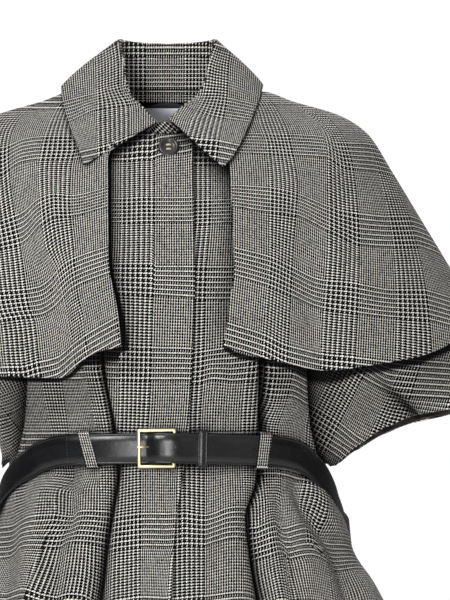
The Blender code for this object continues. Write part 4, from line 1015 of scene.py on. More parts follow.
# The reference frame is 450 x 600 pixels, and a pixel is 1.05 mm at the jacket's front.
PIXEL = 0.00105
ORIGIN_X, ORIGIN_Y = 167.0, 100.0  # where the frame shows the jacket's origin
FRAME_WIDTH, FRAME_HEIGHT = 450, 600
SHARP_Y = -0.11  # the depth at which PIXEL holds
CAMERA_DISTANCE = 16.0  # from that depth
CAMERA_X = (FRAME_WIDTH / 2 - ORIGIN_X) * PIXEL
CAMERA_Z = (ORIGIN_Y - FRAME_HEIGHT / 2) * PIXEL


def in_frame(points):
    """Frame pixels, across and down, at which points show from the front."""
    scale = CAMERA_DISTANCE / (points[..., 1] - SHARP_Y + CAMERA_DISTANCE) / PIXEL
    across = FRAME_WIDTH / 2 + (points[..., 0] - CAMERA_X) * scale
    down = FRAME_HEIGHT / 2 - (points[..., 2] - CAMERA_Z) * scale
    return across, down


# ---------------------------------------------------------------- the check's grain lines

# The check repeats every 120 yarns each way: 56 in fours, dark and light, then 64 in twos. A
# grain line is one yarn: its count, then the frame pixels it shows at, across and down in turn.
# Stripes run down the cloth and bars run across it.
REPEAT = 120
WARP_PITCH = 0.595  # pixels a yarn, across
WEFT_PITCH = 0.692  # pixels a yarn, down

Chart = namedtuple("Chart", "stripes bars")

CAPE_RIGHT_CHECK = Chart(
    stripes=[
        (52, 7.4, 176, 13.7, 215, 19, 245, 24, 288, 28, 310, 32.5, 321, 37, 362),
        (120, 42, 95, 42, 125, 41, 148, 39, 170, 40, 200, 45, 245, 56, 270, 68, 320, 74, 355),
        (172, 70, 100, 72, 125, 74, 148, 69.5, 170, 68.4, 200, 72, 245, 76, 290, 82, 320, 87, 357),
        (240, 107, 100, 109, 160, 110, 250, 113, 280, 120, 344),
    ],
    bars=[
        (52, 2, 110.5, 62, 110.5), (120, 0, 147, 10, 143, 21, 139, 40, 137, 73, 136.6),
        (172, 0, 174, 21, 162, 40, 159.7, 73, 159.7),
        (240, 0, 221, 21, 212, 40, 197.6, 55, 194, 71, 195.5, 106, 188),
        (292, 0, 249, 21, 243, 40, 224, 55, 216, 71, 215.5, 106, 207),
        (360, 0, 290.7, 21, 289, 38, 285, 52, 275, 60, 266, 73, 258, 108, 245.7),
        (412, 0, 320.4, 21, 317, 38, 314.6, 52, 307, 60, 300, 73, 287.8, 110, 272.5),
        (480, 0, 366, 20, 366, 38, 360.6, 57, 354.8, 71, 344.3, 86, 333.8, 116, 316.6),
    ],
)
CAPE_LEFT_CHECK = Chart(
    stripes=[
        (0, 264, 95, 261, 121, 266, 145, 269, 187, 269, 256, 266, 300, 262, 360),
        (52, 286, 95, 288, 121, 290, 145, 296, 187, 292, 245, 289, 295, 286, 356),
        (120, 328, 112, 332, 134, 328, 187, 328, 250, 325, 307, 322, 368),
        (172, 352, 125, 357, 143, 358, 170, 358, 215, 356.4, 283, 353, 367),
        (240, 397, 186, 397, 245, 396, 320, 395, 357), (292, 430, 245, 429.6, 290, 429.6, 350),
    ],
    bars=[
        (0, 264, 93, 300, 93), (52, 264, 105.5, 286, 105.5),
        (120, 245, 134, 266, 134.5, 290, 135, 329, 137, 340, 142.5, 358, 143, 391, 143.6),
        (172, 237, 153.5, 266, 154.5, 290, 155.5, 329, 157.5, 349, 167.7, 391, 171),
        (240, 230, 185, 266, 187, 296, 193, 328, 205.5, 340, 210, 360, 213, 397, 216, 435, 216),
        (292, 230, 205.5, 266, 211.6, 296, 214.7, 328, 230, 350, 241, 358, 244.7, 397, 247, 435, 247),
        (360, 233.6, 246.7, 268, 255.4, 291, 265.4, 325.5, 278.8, 349, 281.7, 396, 289.5, 430, 289.5),
        (412, 233.6, 275, 268, 285.5, 291, 295, 325.5, 307.5, 349, 312, 396, 318, 430, 320),
        (480, 228, 322, 263, 333.3, 286, 344, 322.6, 351.5, 356, 356.5, 396, 361.8),
    ],
)
PLACKET_CHECK = Chart(
    stripes=[
        (0, 121.3, 165, 120.8, 240, 119.3, 280, 121, 310, 120.3, 385, 118, 470, 112, 560, 111, 600),
        (52, 153, 165, 153, 210, 152.4, 280, 151, 310, 148.9, 385, 146.5, 428, 140, 470, 140, 600),
        (120, 193, 165, 194.5, 280, 191, 380, 187, 430, 178, 470, 177, 513, 175, 545, 171, 560,
         168, 600),
    ],
    bars=[
        (52, 113, 161.7, 150, 161.7, 160, 158.5, 190, 155), (120, 113, 198.2, 190, 198.2),
        (172, 113, 222.5, 190, 222.5), (240, 111, 262.5, 153, 262.5, 154, 265.4, 194, 265.4),
        (292, 150, 294.3, 194, 296.8), (360, 150, 345.3, 190, 346.3),
        (412, 105, 379, 150, 378.5, 190, 378.5), (480, 105, 431.5, 190, 431.5),
        (532, 105, 464, 190, 464),
        (600, 115, 515, 140, 514.3, 177, 513.4), (652, 115, 548, 141, 547.8, 174, 547.3),
        (720, 115, 598, 174, 598),
    ],
)
RIGHT_SIDE_CHECK = Chart(
    stripes=[
        (-240, -10, 380, 10, 492, 10, 534, -6, 600), (-188, 12, 380, 24, 492, 24, 534, 8, 600),
        (-120, 42, 380, 57, 473, 43.5, 492, 38.9, 515, 35, 538, 26, 566, 21, 594),
        (-68, 62, 380, 71, 473, 55.5, 492, 54.6, 515, 45, 538, 37, 566, 28, 594),
        (0, 83, 370.5, 96.4, 433, 100.8, 473, 99.9, 510, 95.3, 538, 92.5, 575, 90, 594),
        (52, 100.9, 370.5, 112.5, 433, 116.6, 473, 113, 510, 110, 538, 104, 575, 100, 594),
    ],
    bars=[
        (412, 60, 379, 105, 379), (480, 60, 431.5, 105, 431.5), (532, 20, 470, 60, 466, 105, 463),
        (600, 24, 519.8, 38.9, 516.5, 55.5, 514, 70, 514, 78.6, 509.6, 99.9, 509.6),
        (652, 13.9, 553, 20.4, 549.4, 36, 548.4, 56.4, 545, 66.6, 541.5, 99, 541.5),
        (720, 26.8, 591, 41.6, 593.8, 46, 592.8, 80.5, 592, 90.7, 594.7),
    ],
)
UNDERLAP_CHECK = Chart(
    stripes=[
        (52, 208.8, 165, 208.8, 210, 204, 275, 201.4, 365, 198, 430, 202.3, 470, 202.3, 600),
        (120, 249, 165, 248, 330, 241, 430, 243.4, 500, 244.4, 545, 244.4, 590),
        (172, 280, 165, 276, 330, 268, 430, 260, 480, 258, 510, 258, 600),
    ],
    bars=[
        (52, 190, 165.6, 230, 165.6), (120, 196, 200.2, 230, 199.2), (172, 196, 224, 230, 222.5),
        (240, 196, 265.5, 230, 265.5), (292, 196, 298.9, 230, 298.9), (360, 200, 350.4, 223, 346.8),
        (412, 200, 382, 212, 378.5, 231, 380.5), (480, 200, 431, 260, 431), (532, 200, 464, 260, 464),
        (600, 184, 512.4, 203, 514.3, 216, 511.4, 228, 506.7, 244, 504.3),
        (652, 184, 545, 203, 545, 216, 541, 230, 537.8, 244, 536.8),
        (720, 178, 597.5, 203, 594.7, 216, 592.8, 244, 589.9),
    ],
)
LEFT_SIDE_CHECK = Chart(
    stripes=[
        (0, 271, 373, 268.7, 400, 262.5, 432, 266.5, 472, 266.5, 508, 272, 560, 280, 600),
        (52, 291, 373, 284.9, 400, 276, 432, 278.8, 472, 281, 508, 291, 560, 300, 600),
        (120, 322, 373, 306, 432, 305.3, 485, 305.3, 541, 329.8, 562, 331, 600),
        (172, 350, 373, 334, 432, 328.8, 485, 328.8, 541, 350, 562, 352, 600),
    ],
    bars=[
        (360, 270, 361, 288.6, 361, 309.7, 369), (412, 270, 396, 288.6, 396, 309.7, 404.7),
        (480, 264, 440, 288, 442, 315, 452), (532, 262, 474, 288, 476, 330, 490),
        (600, 259.4, 525.4, 277.8, 518.8, 284.9, 526.4, 305.3, 522.3, 315.5, 526.4,
         328.8, 538.7, 344, 540.7),
        (652, 260.4, 556, 269.6, 555, 286, 550.4, 291, 557, 311.4, 555.5, 327.8, 560, 344, 566),
        (720, 262, 599, 286, 596, 311, 600, 340, 606),
    ],
)
SLEEVE_RIGHT_CHECK = Chart(
    stripes=[
        (-120, -10, 417, 0, 430, 20.5, 459), (-68, -20, 382, 0, 407, 34.8, 451),
        (0, 37, 380, 41, 398, 61.6, 439.3), (52, 65, 380, 67, 396.4, 75.9, 437.5),
    ],
    bars=[
        (0, 0, 394, 40, 380, 80, 374), (52, 8.9, 412.5, 40.2, 397.3, 67, 397, 80, 396),
        (120, 10, 468, 40, 447, 75, 442),
    ],
)
SLEEVE_LEFT_CHECK = Chart(
    stripes=[
        (52, 362, 376, 339.6, 420.8), (120, 389, 392, 371, 432), (172, 408, 400, 402, 420),
    ],
    bars=[
        (52, 340, 361, 363, 377, 392, 392, 450, 398),
        (120, 310, 402, 338, 419.6, 360.7, 435.8, 400, 452),
    ],
)
COLLAR_RIGHT_CHECK = Chart(
    stripes=[
        (-64, 60, 60, 64, 101, 75, 140), (0, 97, 61, 97, 140),
        (52, 117, 61, 117, 86, 127, 110, 127, 140),
    ],
    bars=[
        (-64, 64, 66, 93, 58, 120, 45), (0, 64.3, 101.7, 93, 94.6, 126, 86),
        (52, 71.5, 121.8, 97.3, 110.3, 136, 104.6), (120, 78.7, 152, 107.4, 144.8, 130, 136),
    ],
)
COLLAR_LEFT_CHECK = Chart(
    stripes=[
        (0, 209, 67, 205, 95, 192, 120), (52, 226.5, 67, 226, 95, 219, 136),
        (120, 262, 67, 258, 110, 246, 150),
    ],
    bars=[
        (-64, 215, 50, 240, 60, 262, 84), (0, 190.6, 98, 215, 97.4, 256.6, 105.3),
        (52, 187.7, 107.5, 215, 117.5, 250.9, 123.3), (120, 200, 139, 215, 140, 240, 145),
    ],
)
COLLAR_STAND_CHECK = Chart(
    stripes=[
        (0, 112, 50, 112, 100), (56, 146, 50, 146, 100), (120, 185, 50, 185, 100),
        (172, 208, 50, 208, 100),
    ],
    bars=[
        (-40, 120, 35.5, 210, 35.5), (0, 120, 64.4, 210, 64.4), (52, 120, 91.7, 210, 91.7),
        (68, 120, 102, 210, 102),
    ],
)
STAND_SEAM = 59.3  # where the collar's inside is pieced, and the check skips some yarns
STAND_SKIP = np.array([0.0, 55.0])

TURN_LIMIT = 1.15  # cloth that turns away further than this is laid flat


def line_at(line, at, key):
    """A grain line's other coordinate at the key coordinate, straight on past its ends."""
    marks = np.array(line[1:], float).reshape(-1, 2)
    marks = marks[np.argsort(marks[:, key], kind="stable")]
    keys, values = marks[:, key], marks[:, 1 - key]
    slope = (values[-1] - values[0]) / (keys[-1] - keys[0])
    past = at - np.clip(at, keys[0], keys[-1])
    return smooth(keys, values, at) + slope * past


def counted(lines, place, at, key, pitch):
    """The yarn count at places that lie between grain lines."""
    crossings = [line_at(line, at, key) for line in lines]
    counts = [line[0] for line in lines]
    result = counts[0] + (place - crossings[0]) / pitch
    for i in range(len(lines) - 1):
        gap = np.maximum(crossings[i + 1] - crossings[i], 1.0)
        between = counts[i] + (place - crossings[i]) / gap * (counts[i + 1] - counts[i])
        result = np.where(place > crossings[i], between, result)
    beyond = counts[-1] + (place - crossings[-1]) / pitch
    return np.where(place > crossings[-1], beyond, result)


def yarns(chart, across, down):
    """The warp and weft yarns that show at frame pixels, by a chart's grain lines."""
    warp = counted(chart.stripes, across, down, 1, WARP_PITCH)
    return warp, counted(chart.bars, down, across, 0, WEFT_PITCH)


def in_repeats(warp, weft):
    """Cloth coordinates, in repeats of the check."""
    return np.stack([warp, weft], axis=-1) / REPEAT


def laid_flat(grid):
    """Pixels across each row, with what turns away to the side laid out flat."""
    across, down = in_frame(grid)
    step = np.diff(grid, axis=1)
    arc = np.hypot(step[..., 0], step[..., 1]) / PIXEL
    move = np.diff(across, axis=1)
    side = np.sign(move.sum())
    flat = np.maximum(side * move, arc / TURN_LIMIT)
    total = np.concatenate([np.zeros((len(grid), 1)), np.cumsum(flat, axis=1)], axis=1)
    return across[:, :1] + side * total, down


def charted(grid, chart):
    return in_repeats(*yarns(chart, *laid_flat(grid)))


def run(grid, axis, start=0):
    """Length along the rows (axis 1) or columns (axis 0), from a start index."""
    length = np.linalg.norm(np.diff(grid, axis=axis), axis=-1)
    total = np.cumsum(length, axis=axis)
    pad = [(0, 0), (0, 0)]
    pad[axis] = (1, 0)
    total = np.pad(total, pad)
    return total - np.take(total, [start], axis=axis)


def by_length(grid):
    """Coordinates in metres along the cloth's own rows and columns."""
    return np.stack([run(grid, 1), run(grid, 0)], axis=-1)


def spread(grid, start_column=0, turn=0.0, warp=0.0, weft=0.0):
    """Cloth coordinates by the cloth's own lengths, turned by an angle."""
    across = run(grid, 1, start_column) / PIXEL
    down = run(grid, 0) / PIXEL
    cosine, sine = math.cos(turn), math.sin(turn)
    i = (across * cosine + down * sine) / WARP_PITCH + warp
    return in_repeats(i, (down * cosine - across * sine) / WEFT_PITCH + weft)


# ---------------------------------------------------------------- materials


class Nodes:
    """The nodes of a tree, made one at a time."""

    def __init__(self, tree):
        self.tree = tree

    def node(self, kind, inputs=(), **settings):
        """A node with some of its inputs filled, by number or name, and its settings."""
        made = self.tree.nodes.new(kind)
        for key, value in settings.items():
            setattr(made, key, value)
        for key, value in dict(inputs).items():
            self.put(made.inputs[key], value)
        return made

    def put(self, socket, value):
        """Links a value's socket, or sets a number or colour."""
        if isinstance(value, bpy.types.NodeSocket):
            self.tree.links.new(value, socket)
        else:
            socket.default_value = value

    def maths(self, operation, *values):
        return self.node("ShaderNodeMath", enumerate(values), operation=operation).outputs[0]

    def ranged(self, value, interpolation="LINEAR", **ends):
        """A value mapped from one range to another; the ends' names have _ for a space."""
        inputs = {"Value": value, **{key.replace("_", " "): end for key, end in ends.items()}}
        made = self.node("ShaderNodeMapRange", inputs, interpolation_type=interpolation)
        return made.outputs["Result"]


class Shader(Nodes):
    """A material's nodes."""

    def __init__(self, name):
        self.material = bpy.data.materials.new(name)
        self.material.use_nodes = True
        super().__init__(self.material.node_tree)
        self.surface = self.tree.nodes["Principled BSDF"]
        self.place = self.node("ShaderNodeTexCoord").outputs["Object"]

    def mix(self, share, first, second, kind="RGBA"):
        inputs = {"Factor": share, "A": first, "B": second}
        return self.node("ShaderNodeMix", inputs, data_type=kind).outputs["Result"]

    def noise(self, scale, detail=2.0, roughness=0.5, place=None):
        inputs = {"Vector": place or self.place, "Scale": scale, "Detail": detail}
        inputs["Roughness"] = roughness
        return self.node("ShaderNodeTexNoise", inputs).outputs["Fac"]

    def bump(self, height, distance, strength, under=None):
        inputs = {"Strength": strength, "Distance": distance, "Height": height}
        if under is not None:
            inputs["Normal"] = under
        return self.node("ShaderNodeBump", inputs).outputs["Normal"]

    def cloth(self):
        uv = self.node("ShaderNodeUVMap", uv_map="cloth").outputs[0]
        split = self.node("ShaderNodeSeparateXYZ", {0: uv})
        return split.outputs["X"], split.outputs["Y"]

    def fix(self, **settings):
        """Sets the surface's own sockets, whose names have _ for a space."""
        for key, value in settings.items():
            self.put(self.surface.inputs[key.replace("_", " ")], value)
        return self.material


STRONG_YARNS = 56  # of the repeat's 120, in fours; the rest are in twos
LIGHT_YARN = (0.860, 0.840, 0.795, 1.0)
DARK_YARN = (0.0040, 0.0037, 0.0037, 1.0)
PAINTED_SHADE_REACH = 0.045  # how near other cloth must be for painted shade to darken the wool's colour
LIGHT_SPREAD = 0.50  # the light yarns are thinner than the dark ones, which swell over them
TWILL_PITCH = 0.0004  # the linings' lines
RIB_PITCH = 0.0007  # the label's, down and across
CROSS_PITCH = 0.0005


def light_group(shader, number, size):
    """1 on the light group of yarns in each period of a dark and a light group of that size."""
    place = shader.maths("FLOORED_MODULO", number, 2.0 * size)
    off = shader.maths("ABSOLUTE", shader.maths("SUBTRACT", place, size / 2.0))
    return shader.maths("LESS_THAN", off, LIGHT_SPREAD * size / 2.0)


def light_yarn(shader, number):
    """1 where the yarn at that place in the cloth is a light one."""
    place = shader.maths("FLOORED_MODULO", number, REPEAT)
    strong = shader.maths("LESS_THAN", place, STRONG_YARNS)
    return shader.mix(strong, light_group(shader, place, 2), light_group(shader, place, 4), "FLOAT")


def wool_check():
    """A two-and-two twill in light and dark yarns: the glen check comes of the yarns' order."""
    shader = Shader("wool_check")
    u, v = shader.cloth()
    across = shader.maths("MULTIPLY", u, REPEAT)
    down = shader.maths("MULTIPLY", v, REPEAT)
    warp = shader.maths("FLOOR", across)
    step = shader.maths("FLOORED_MODULO", shader.maths("ADD", warp, shader.maths("FLOOR", down)), 4.0)
    warp_on_top = shader.maths("GREATER_THAN", step, 1.5)
    light = shader.mix(warp_on_top, light_yarn(shader, down), light_yarn(shader, across), "FLOAT")
    fibres = shader.noise(2600.0)
    slubs = shader.noise(800.0)
    patches = shader.noise(28.0, 3.0)
    lengths = {"X": warp, "Y": shader.maths("MULTIPLY", down, 0.10)}
    uneven = shader.noise(0.9, place=shader.node("ShaderNodeCombineXYZ", lengths).outputs[0])
    hairy = shader.maths("MULTIPLY_ADD", fibres, 1.1, shader.maths("MULTIPLY_ADD", slubs, 2.4, -0.90))
    hairy = shader.maths("MULTIPLY", hairy, shader.maths("MULTIPLY_ADD", uneven, 1.7, 0.18))
    colour = shader.mix(shader.maths("MULTIPLY", light, hairy), DARK_YARN, LIGHT_YARN)
    # Painted shade: ambient occlusion darkens the wool's colour in creases and where other cloth lies
    # close.
    crease = shader.node("ShaderNodeAmbientOcclusion", {"Distance": PAINTED_SHADE_REACH}, samples=6)
    depth = shader.ranged(crease.outputs["AO"], From_Min=0.40, From_Max=0.86, To_Min=0.06, To_Max=1.0)
    # Painted shadow: the capelet's shadow under its hem and beside its right front edge, read from each
    # point's shade value.
    cape = shader.node("ShaderNodeAttribute", attribute_name="shade").outputs["Fac"]
    painted_cape_shadow = shader.ranged(cape, "SMOOTHSTEP", From_Max=0.45, To_Min=1.0, To_Max=0.05)
    open_to_light = shader.maths("MULTIPLY_ADD", patches, 0.3, 0.85)
    value = shader.maths("MULTIPLY", open_to_light, shader.maths("MULTIPLY", depth, painted_cape_shadow))
    shade = shader.node("ShaderNodeHueSaturation", {"Color": colour, "Value": value})
    ridges = []
    for place in (down, across):
        turn = shader.maths("MULTIPLY", shader.maths("FRACT", place), math.pi)
        ridges.append(shader.maths("SINE", turn))
    woven = shader.bump(shader.mix(warp_on_top, *ridges, "FLOAT"), 0.00012, 0.5)
    normal = shader.bump(fibres, 0.00015, 0.35, woven)
    return shader.fix(
        Base_Color=shade.outputs[0], Roughness=0.9, Specular_IOR_Level=0.06, Sheen_Weight=0.02,
        Sheen_Roughness=0.5, Normal=normal,
    )


def black_leather():
    shader = Shader("black_leather")
    cells = {"Vector": shader.place, "Scale": 1100.0}
    grain = shader.node("ShaderNodeTexVoronoi", cells, feature="DISTANCE_TO_EDGE")
    wear = shader.noise(70.0, 4.0, 0.6)
    pores = shader.bump(grain.outputs["Distance"], 0.00012, 0.45)
    waves = shader.bump(shader.noise(160.0, 3.0), 0.0004, 0.35, pores)
    colour = shader.mix(wear, (0.0018, 0.0019, 0.0023, 1.0), (0.0042, 0.0045, 0.0056, 1.0))
    roughness = shader.maths("MULTIPLY_ADD", wear, 0.16, 0.19)
    return shader.fix(Base_Color=colour, Roughness=roughness, Specular_IOR_Level=0.46, Normal=waves)


def polished_gold():
    shader = Shader("polished_gold")
    marks = shader.noise(420.0, 4.0, 0.7)
    colour = shader.mix(shader.noise(60.0, 3.0), (0.90, 0.72, 0.38, 1.0), (1.0, 0.86, 0.55, 1.0))
    roughness = shader.maths("MULTIPLY_ADD", marks, 0.18, 0.32)
    normal = shader.bump(marks, 0.00004, 0.3)
    return shader.fix(Base_Color=colour, Metallic=1.0, Roughness=roughness, Normal=normal)


def dark_horn():
    shader = Shader("dark_horn")
    streaks = shader.noise(240.0, 5.0, 0.65)
    colour = shader.mix(streaks, (0.006, 0.005, 0.005, 1.0), (0.018, 0.014, 0.012, 1.0))
    return shader.fix(
        Base_Color=colour, Roughness=shader.maths("MULTIPLY_ADD", streaks, 0.14, 0.24),
        Coat_Weight=0.25, Coat_Roughness=0.2, Normal=shader.bump(streaks, 0.00005, 0.25),
    )


def woven_lining(name, dark, light):
    """A smooth lining with a fine twill line."""
    shader = Shader(name)
    lines = shader.maths("MULTIPLY", shader.maths("ADD", *shader.cloth()), 2 * math.pi / TWILL_PITCH)
    return shader.fix(
        Base_Color=shader.mix(shader.noise(900.0, 3.0), dark, light), Roughness=0.52, Sheen_Weight=0.25,
        Sheen_Roughness=0.4, Normal=shader.bump(shader.maths("SINE", lines), 0.00005, 0.3),
    )


def label_weave():
    """A blank damask label."""
    shader = Shader("white_label")
    u, v = shader.cloth()
    rib = shader.maths("SINE", shader.maths("MULTIPLY", v, 2 * math.pi / RIB_PITCH))
    cross = shader.maths("SINE", shader.maths("MULTIPLY", u, 2 * math.pi / CROSS_PITCH))
    colour = shader.mix(shader.noise(1500.0), (0.84, 0.85, 0.92, 1.0), (0.92, 0.93, 0.98, 1.0))
    normal = shader.bump(shader.maths("ADD", rib, cross), 0.00006, 0.4)
    return shader.fix(Base_Color=colour, Roughness=0.55, Sheen_Weight=0.2, Normal=normal)


def thread(name, dark, light):
    shader = Shader(name)
    fibres = shader.noise(3000.0, 3.0)
    return shader.fix(
        Base_Color=shader.mix(fibres, dark, light), Roughness=0.6, Sheen_Weight=0.3,
        Normal=shader.bump(fibres, 0.00008, 0.5),
    )


def pale_floor():
    shader = Shader("pale_floor")
    colour = shader.mix(shader.noise(3.0), (0.80, 0.80, 0.80, 1.0), (0.84, 0.84, 0.84, 1.0))
    return shader.fix(Base_Color=colour, Roughness=0.9)


# ---------------------------------------------------------------- making pieces


def added(name, data):
    """A new object in the scene."""
    obj = bpy.data.objects.new(name, data)
    bpy.context.scene.collection.objects.link(obj)
    return obj


def mesh_piece(name, points, faces, finish, uv=None):
    """A mesh object; uv holds one pair for each face corner, in face order."""
    mesh = bpy.data.meshes.new(name)
    mesh.from_pydata(np.asarray(points, float).tolist(), [], faces)
    if uv is not None:
        layer = mesh.uv_layers.new(name="cloth")
        layer.data.foreach_set("uv", np.asarray(uv, np.float32).ravel())
    mesh.materials.append(finish)
    mesh.shade_smooth()
    mesh.update()
    return added(name, mesh)


def grid_faces(rows, columns, closed, flip):
    faces = []
    for i in range(rows - 1):
        for j in range(columns if closed else columns - 1):
            after = (j + 1) % columns
            here, below = i * columns, (i + 1) * columns
            face = [here + j, below + j, below + after, here + after]
            faces.append(face[::-1] if flip else face)
    return faces


def wall(name, grid, cloth, thickness, finish, closed, flip=False, others=(), shade=None):
    """A cloth wall built out from a grid. Others holds coordinates and the points that use them."""
    rows, columns = grid.shape[:2]
    faces = grid_faces(rows, columns, closed, flip)
    corners = np.array(faces)
    uv = cloth.reshape(-1, 2)[corners]
    if closed:
        torn = np.ptp(uv[..., 0], axis=1) > 1.0  # faces between the chart's two ends
        uv = np.where(torn[:, None, None], uv[:, :1], uv)
    for other, use in others:
        chosen = use.reshape(-1)[corners].all(axis=1)
        uv = np.where(chosen[:, None, None], other.reshape(-1, 2)[corners], uv)
    obj = mesh_piece(name, grid.reshape(-1, 3), faces, finish, uv.reshape(-1, 2))
    # Each point's painted shadow from the capelet, which the wool's colour reads.
    if shade is not None:
        layer = obj.data.attributes.new("shade", "FLOAT", "POINT")
        layer.data.foreach_set("value", np.asarray(shade, np.float32).ravel())
    solid = obj.modifiers.new("Wall", "SOLIDIFY")
    solid.thickness = thickness
    solid.offset = 1.0
    return obj


def settle(obj, node):
    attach(obj, BODY_NAME)
    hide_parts(node)


def sew(
    name, grid, cloth, finish, held, rests_on,
    slot="check_cloth", thickness=CLOTH, closed=False, **options
):
    """One cloth piece in the place of its solid."""
    obj = wall(name + "_cloth", grid, cloth, thickness, finish, closed, **options)
    settle(obj, name)


def capped_tube(name, rings, finish):
    """A closed solid through rings of points, with flat ends."""
    rows, columns = rings.shape[:2]
    faces = grid_faces(rows, columns, True, False)
    uv = by_length(rings)[..., ::-1].reshape(-1, 2)[np.array(faces)].reshape(-1, 2)
    faces.append(list(range(columns)))
    faces.append([(rows - 1) * columns + j for j in range(columns)][::-1])
    uv = np.concatenate([uv, np.zeros((2 * columns, 2))])
    return mesh_piece(name, rings.reshape(-1, 3), faces, finish, uv)


def smooth_rod(name, path, radius, finish, closed=False):
    """A round rod along a path of points."""
    curve = bpy.data.curves.new(name, "CURVE")
    curve.dimensions = "3D"
    curve.bevel_depth = radius
    curve.bevel_resolution = 6
    curve.use_fill_caps = not closed
    spline = curve.splines.new("POLY")
    spline.points.add(len(path) - 1)
    for point, place in zip(spline.points, path):
        point.co = (*map(float, place), 1.0)
        point.radius = 1.0
    spline.use_cyclic_u = closed
    spline.use_smooth = True
    curve.materials.append(finish)
    return added(name, curve)


RIM_ANGLE = math.radians(50)  # edges sharper than this stay crisp after a cut


def applied(obj, cutters):
    """Subtracts cutters from an object and keeps the result as its mesh."""
    for cutter in cutters:
        bite = obj.modifiers.new("Cut", "BOOLEAN")
        bite.operation = "DIFFERENCE"
        bite.solver = "EXACT"
        bite.object = cutter
    bpy.context.view_layer.update()
    seen = obj.evaluated_get(bpy.context.evaluated_depsgraph_get())
    mesh = bpy.data.meshes.new_from_object(seen)
    mesh.set_sharp_from_angle(angle=RIM_ANGLE)
    obj.modifiers.clear()
    obj.data = mesh
    for cutter in cutters:
        bpy.data.objects.remove(cutter, do_unlink=True)
    return obj


def frame_matrix(place, x_axis, y_axis, z_axis):
    """The 4 x 4 matrix of a frame at a place."""
    rows = np.eye(4)
    rows[:3, 0], rows[:3, 1], rows[:3, 2], rows[:3, 3] = x_axis, y_axis, z_axis, place
    return Matrix(rows.tolist())


# ---------------------------------------------------------------- cloth pieces


SHADE_FAR = -3.0  # so far past the cape that nothing of its painted shadow is left
# The painted shadow's width past the cape's hem, against the distance from the middle.
SHADE_RIGHT = ((0.048, 0.070, 0.085, 0.240), (0.018, 0.018, 0.007, 0.006))
SHADE_LEFT = ((0.058, 0.130, 0.152, 0.178, 0.200, 0.300), (0.005, 0.008, 0.020, 0.020, 0.011, 0.012))
# And past its right front edge, against the height below the origin, down to where it fades out.
SHADE_EDGE = ((0.06, 0.20, 0.26), (0.004, 0.006, 0.012))
SHADE_EDGE_END = (0.262, 0.272)


def cape_shade(grid):
    """Painted shadow of the cape on the cloth: 1 where the cape covers it, falling to 0 a little past
    its hem and right front edge.
    """
    x, y, z = np.moveaxis(grid, -1, 0)
    past_right = x - along(CAPE_EDGE_RIGHT, z)
    under = (
        (CAPE_HEM_RIGHT, SHADE_RIGHT, (past_right < 0) & (y < 0)),
        (CAPE_HEM_LEFT, SHADE_LEFT, (x > along(CAPE_EDGE_LEFT, z)) & (y < 0)),
        (CAPE_HEM_BACK, SHADE_LEFT, y >= 0),
    )
    shade = np.full(x.shape, SHADE_FAR)
    for hem, widths, here in under:
        drop = np.interp(np.abs(x), hem.x, hem.z) - z
        shade = np.where(here, 1 - drop / np.interp(np.abs(x), *widths), shade)
    beside = 1 - past_right / np.interp(-z, *SHADE_EDGE) + SHADE_FAR * ramp(-z, *SHADE_EDGE_END)
    shade = np.where((past_right >= 0) & (y < 0), np.maximum(shade, beside), shade)
    return np.clip(shade, SHADE_FAR, 1.0)


def make_fronts(check):
    for name, side, near, far, pleat in (
        ("front_right", -1, PLACKET_CHECK, RIGHT_SIDE_CHECK, PLEAT_RIGHT),
        ("front_left", 1, UNDERLAP_CHECK, LEFT_SIDE_CHECK, PLEAT_LEFT),
    ):
        grid, plain = front_grid(side)
        beyond = side * plain[..., 0] >= side * along(pleat, plain[..., 2])
        sew(
            name, grid, charted(plain, near), check, "hung", ["collar_band"], flip=side < 0,
            others=[(charted(plain, far), beyond)], shade=cape_shade(grid),
        )


def make_back(check):
    grid = back_grid()
    cloth = spread(grid, grid.shape[1] // 2, warp=26.0)
    sew("back", grid, cloth, check, "hung", ["collar_band"], shade=cape_shade(grid))


def make_sleeves(check, brown):
    for name, end, chart in (
        ("sleeve_right", SLEEVE_RIGHT, SLEEVE_RIGHT_CHECK),
        ("sleeve_left", SLEEVE_LEFT, SLEEVE_LEFT_CHECK),
    ):
        grid = sleeve_grid(end)
        columns = grid.shape[1]
        across, down = in_frame(grid)
        behind = (np.arange(columns) > columns // 2)[None, :]
        across = np.where(behind, 2 * across[:, :1] - across, across)
        flip = end.side > 0
        sew(
            name, grid, in_repeats(*yarns(chart, across, down)), check, "hung",
            ["front_right_cloth", "back_cloth"], closed=True, flip=flip, shade=cape_shade(grid),
        )
        strip = sleeve_lining_grid(end)
        sew(
            name.replace("sleeve", "sleeve_lining"), strip, by_length(strip), brown, "hung",
            [name + "_cloth"], "brown_lining", THIN_CLOTH, closed=True, flip=not flip,
        )


def make_cape(check):
    for name, side, chart in (("cape_right", -1, CAPE_RIGHT_CHECK), ("cape_left", 1, CAPE_LEFT_CHECK)):
        grid, plain = cape_front_grid(side)
        rests_on = ["collar_band", "front_right_cloth"]
        sew(name, grid, charted(plain, chart), check, "draped", rests_on, flip=side < 0)
    grid = cape_back_grid()
    cloth = spread(grid, grid.shape[1] // 2, warp=28.0)
    sew("cape_back", grid, cloth, check, "draped", ["collar_band", "back_cloth"])


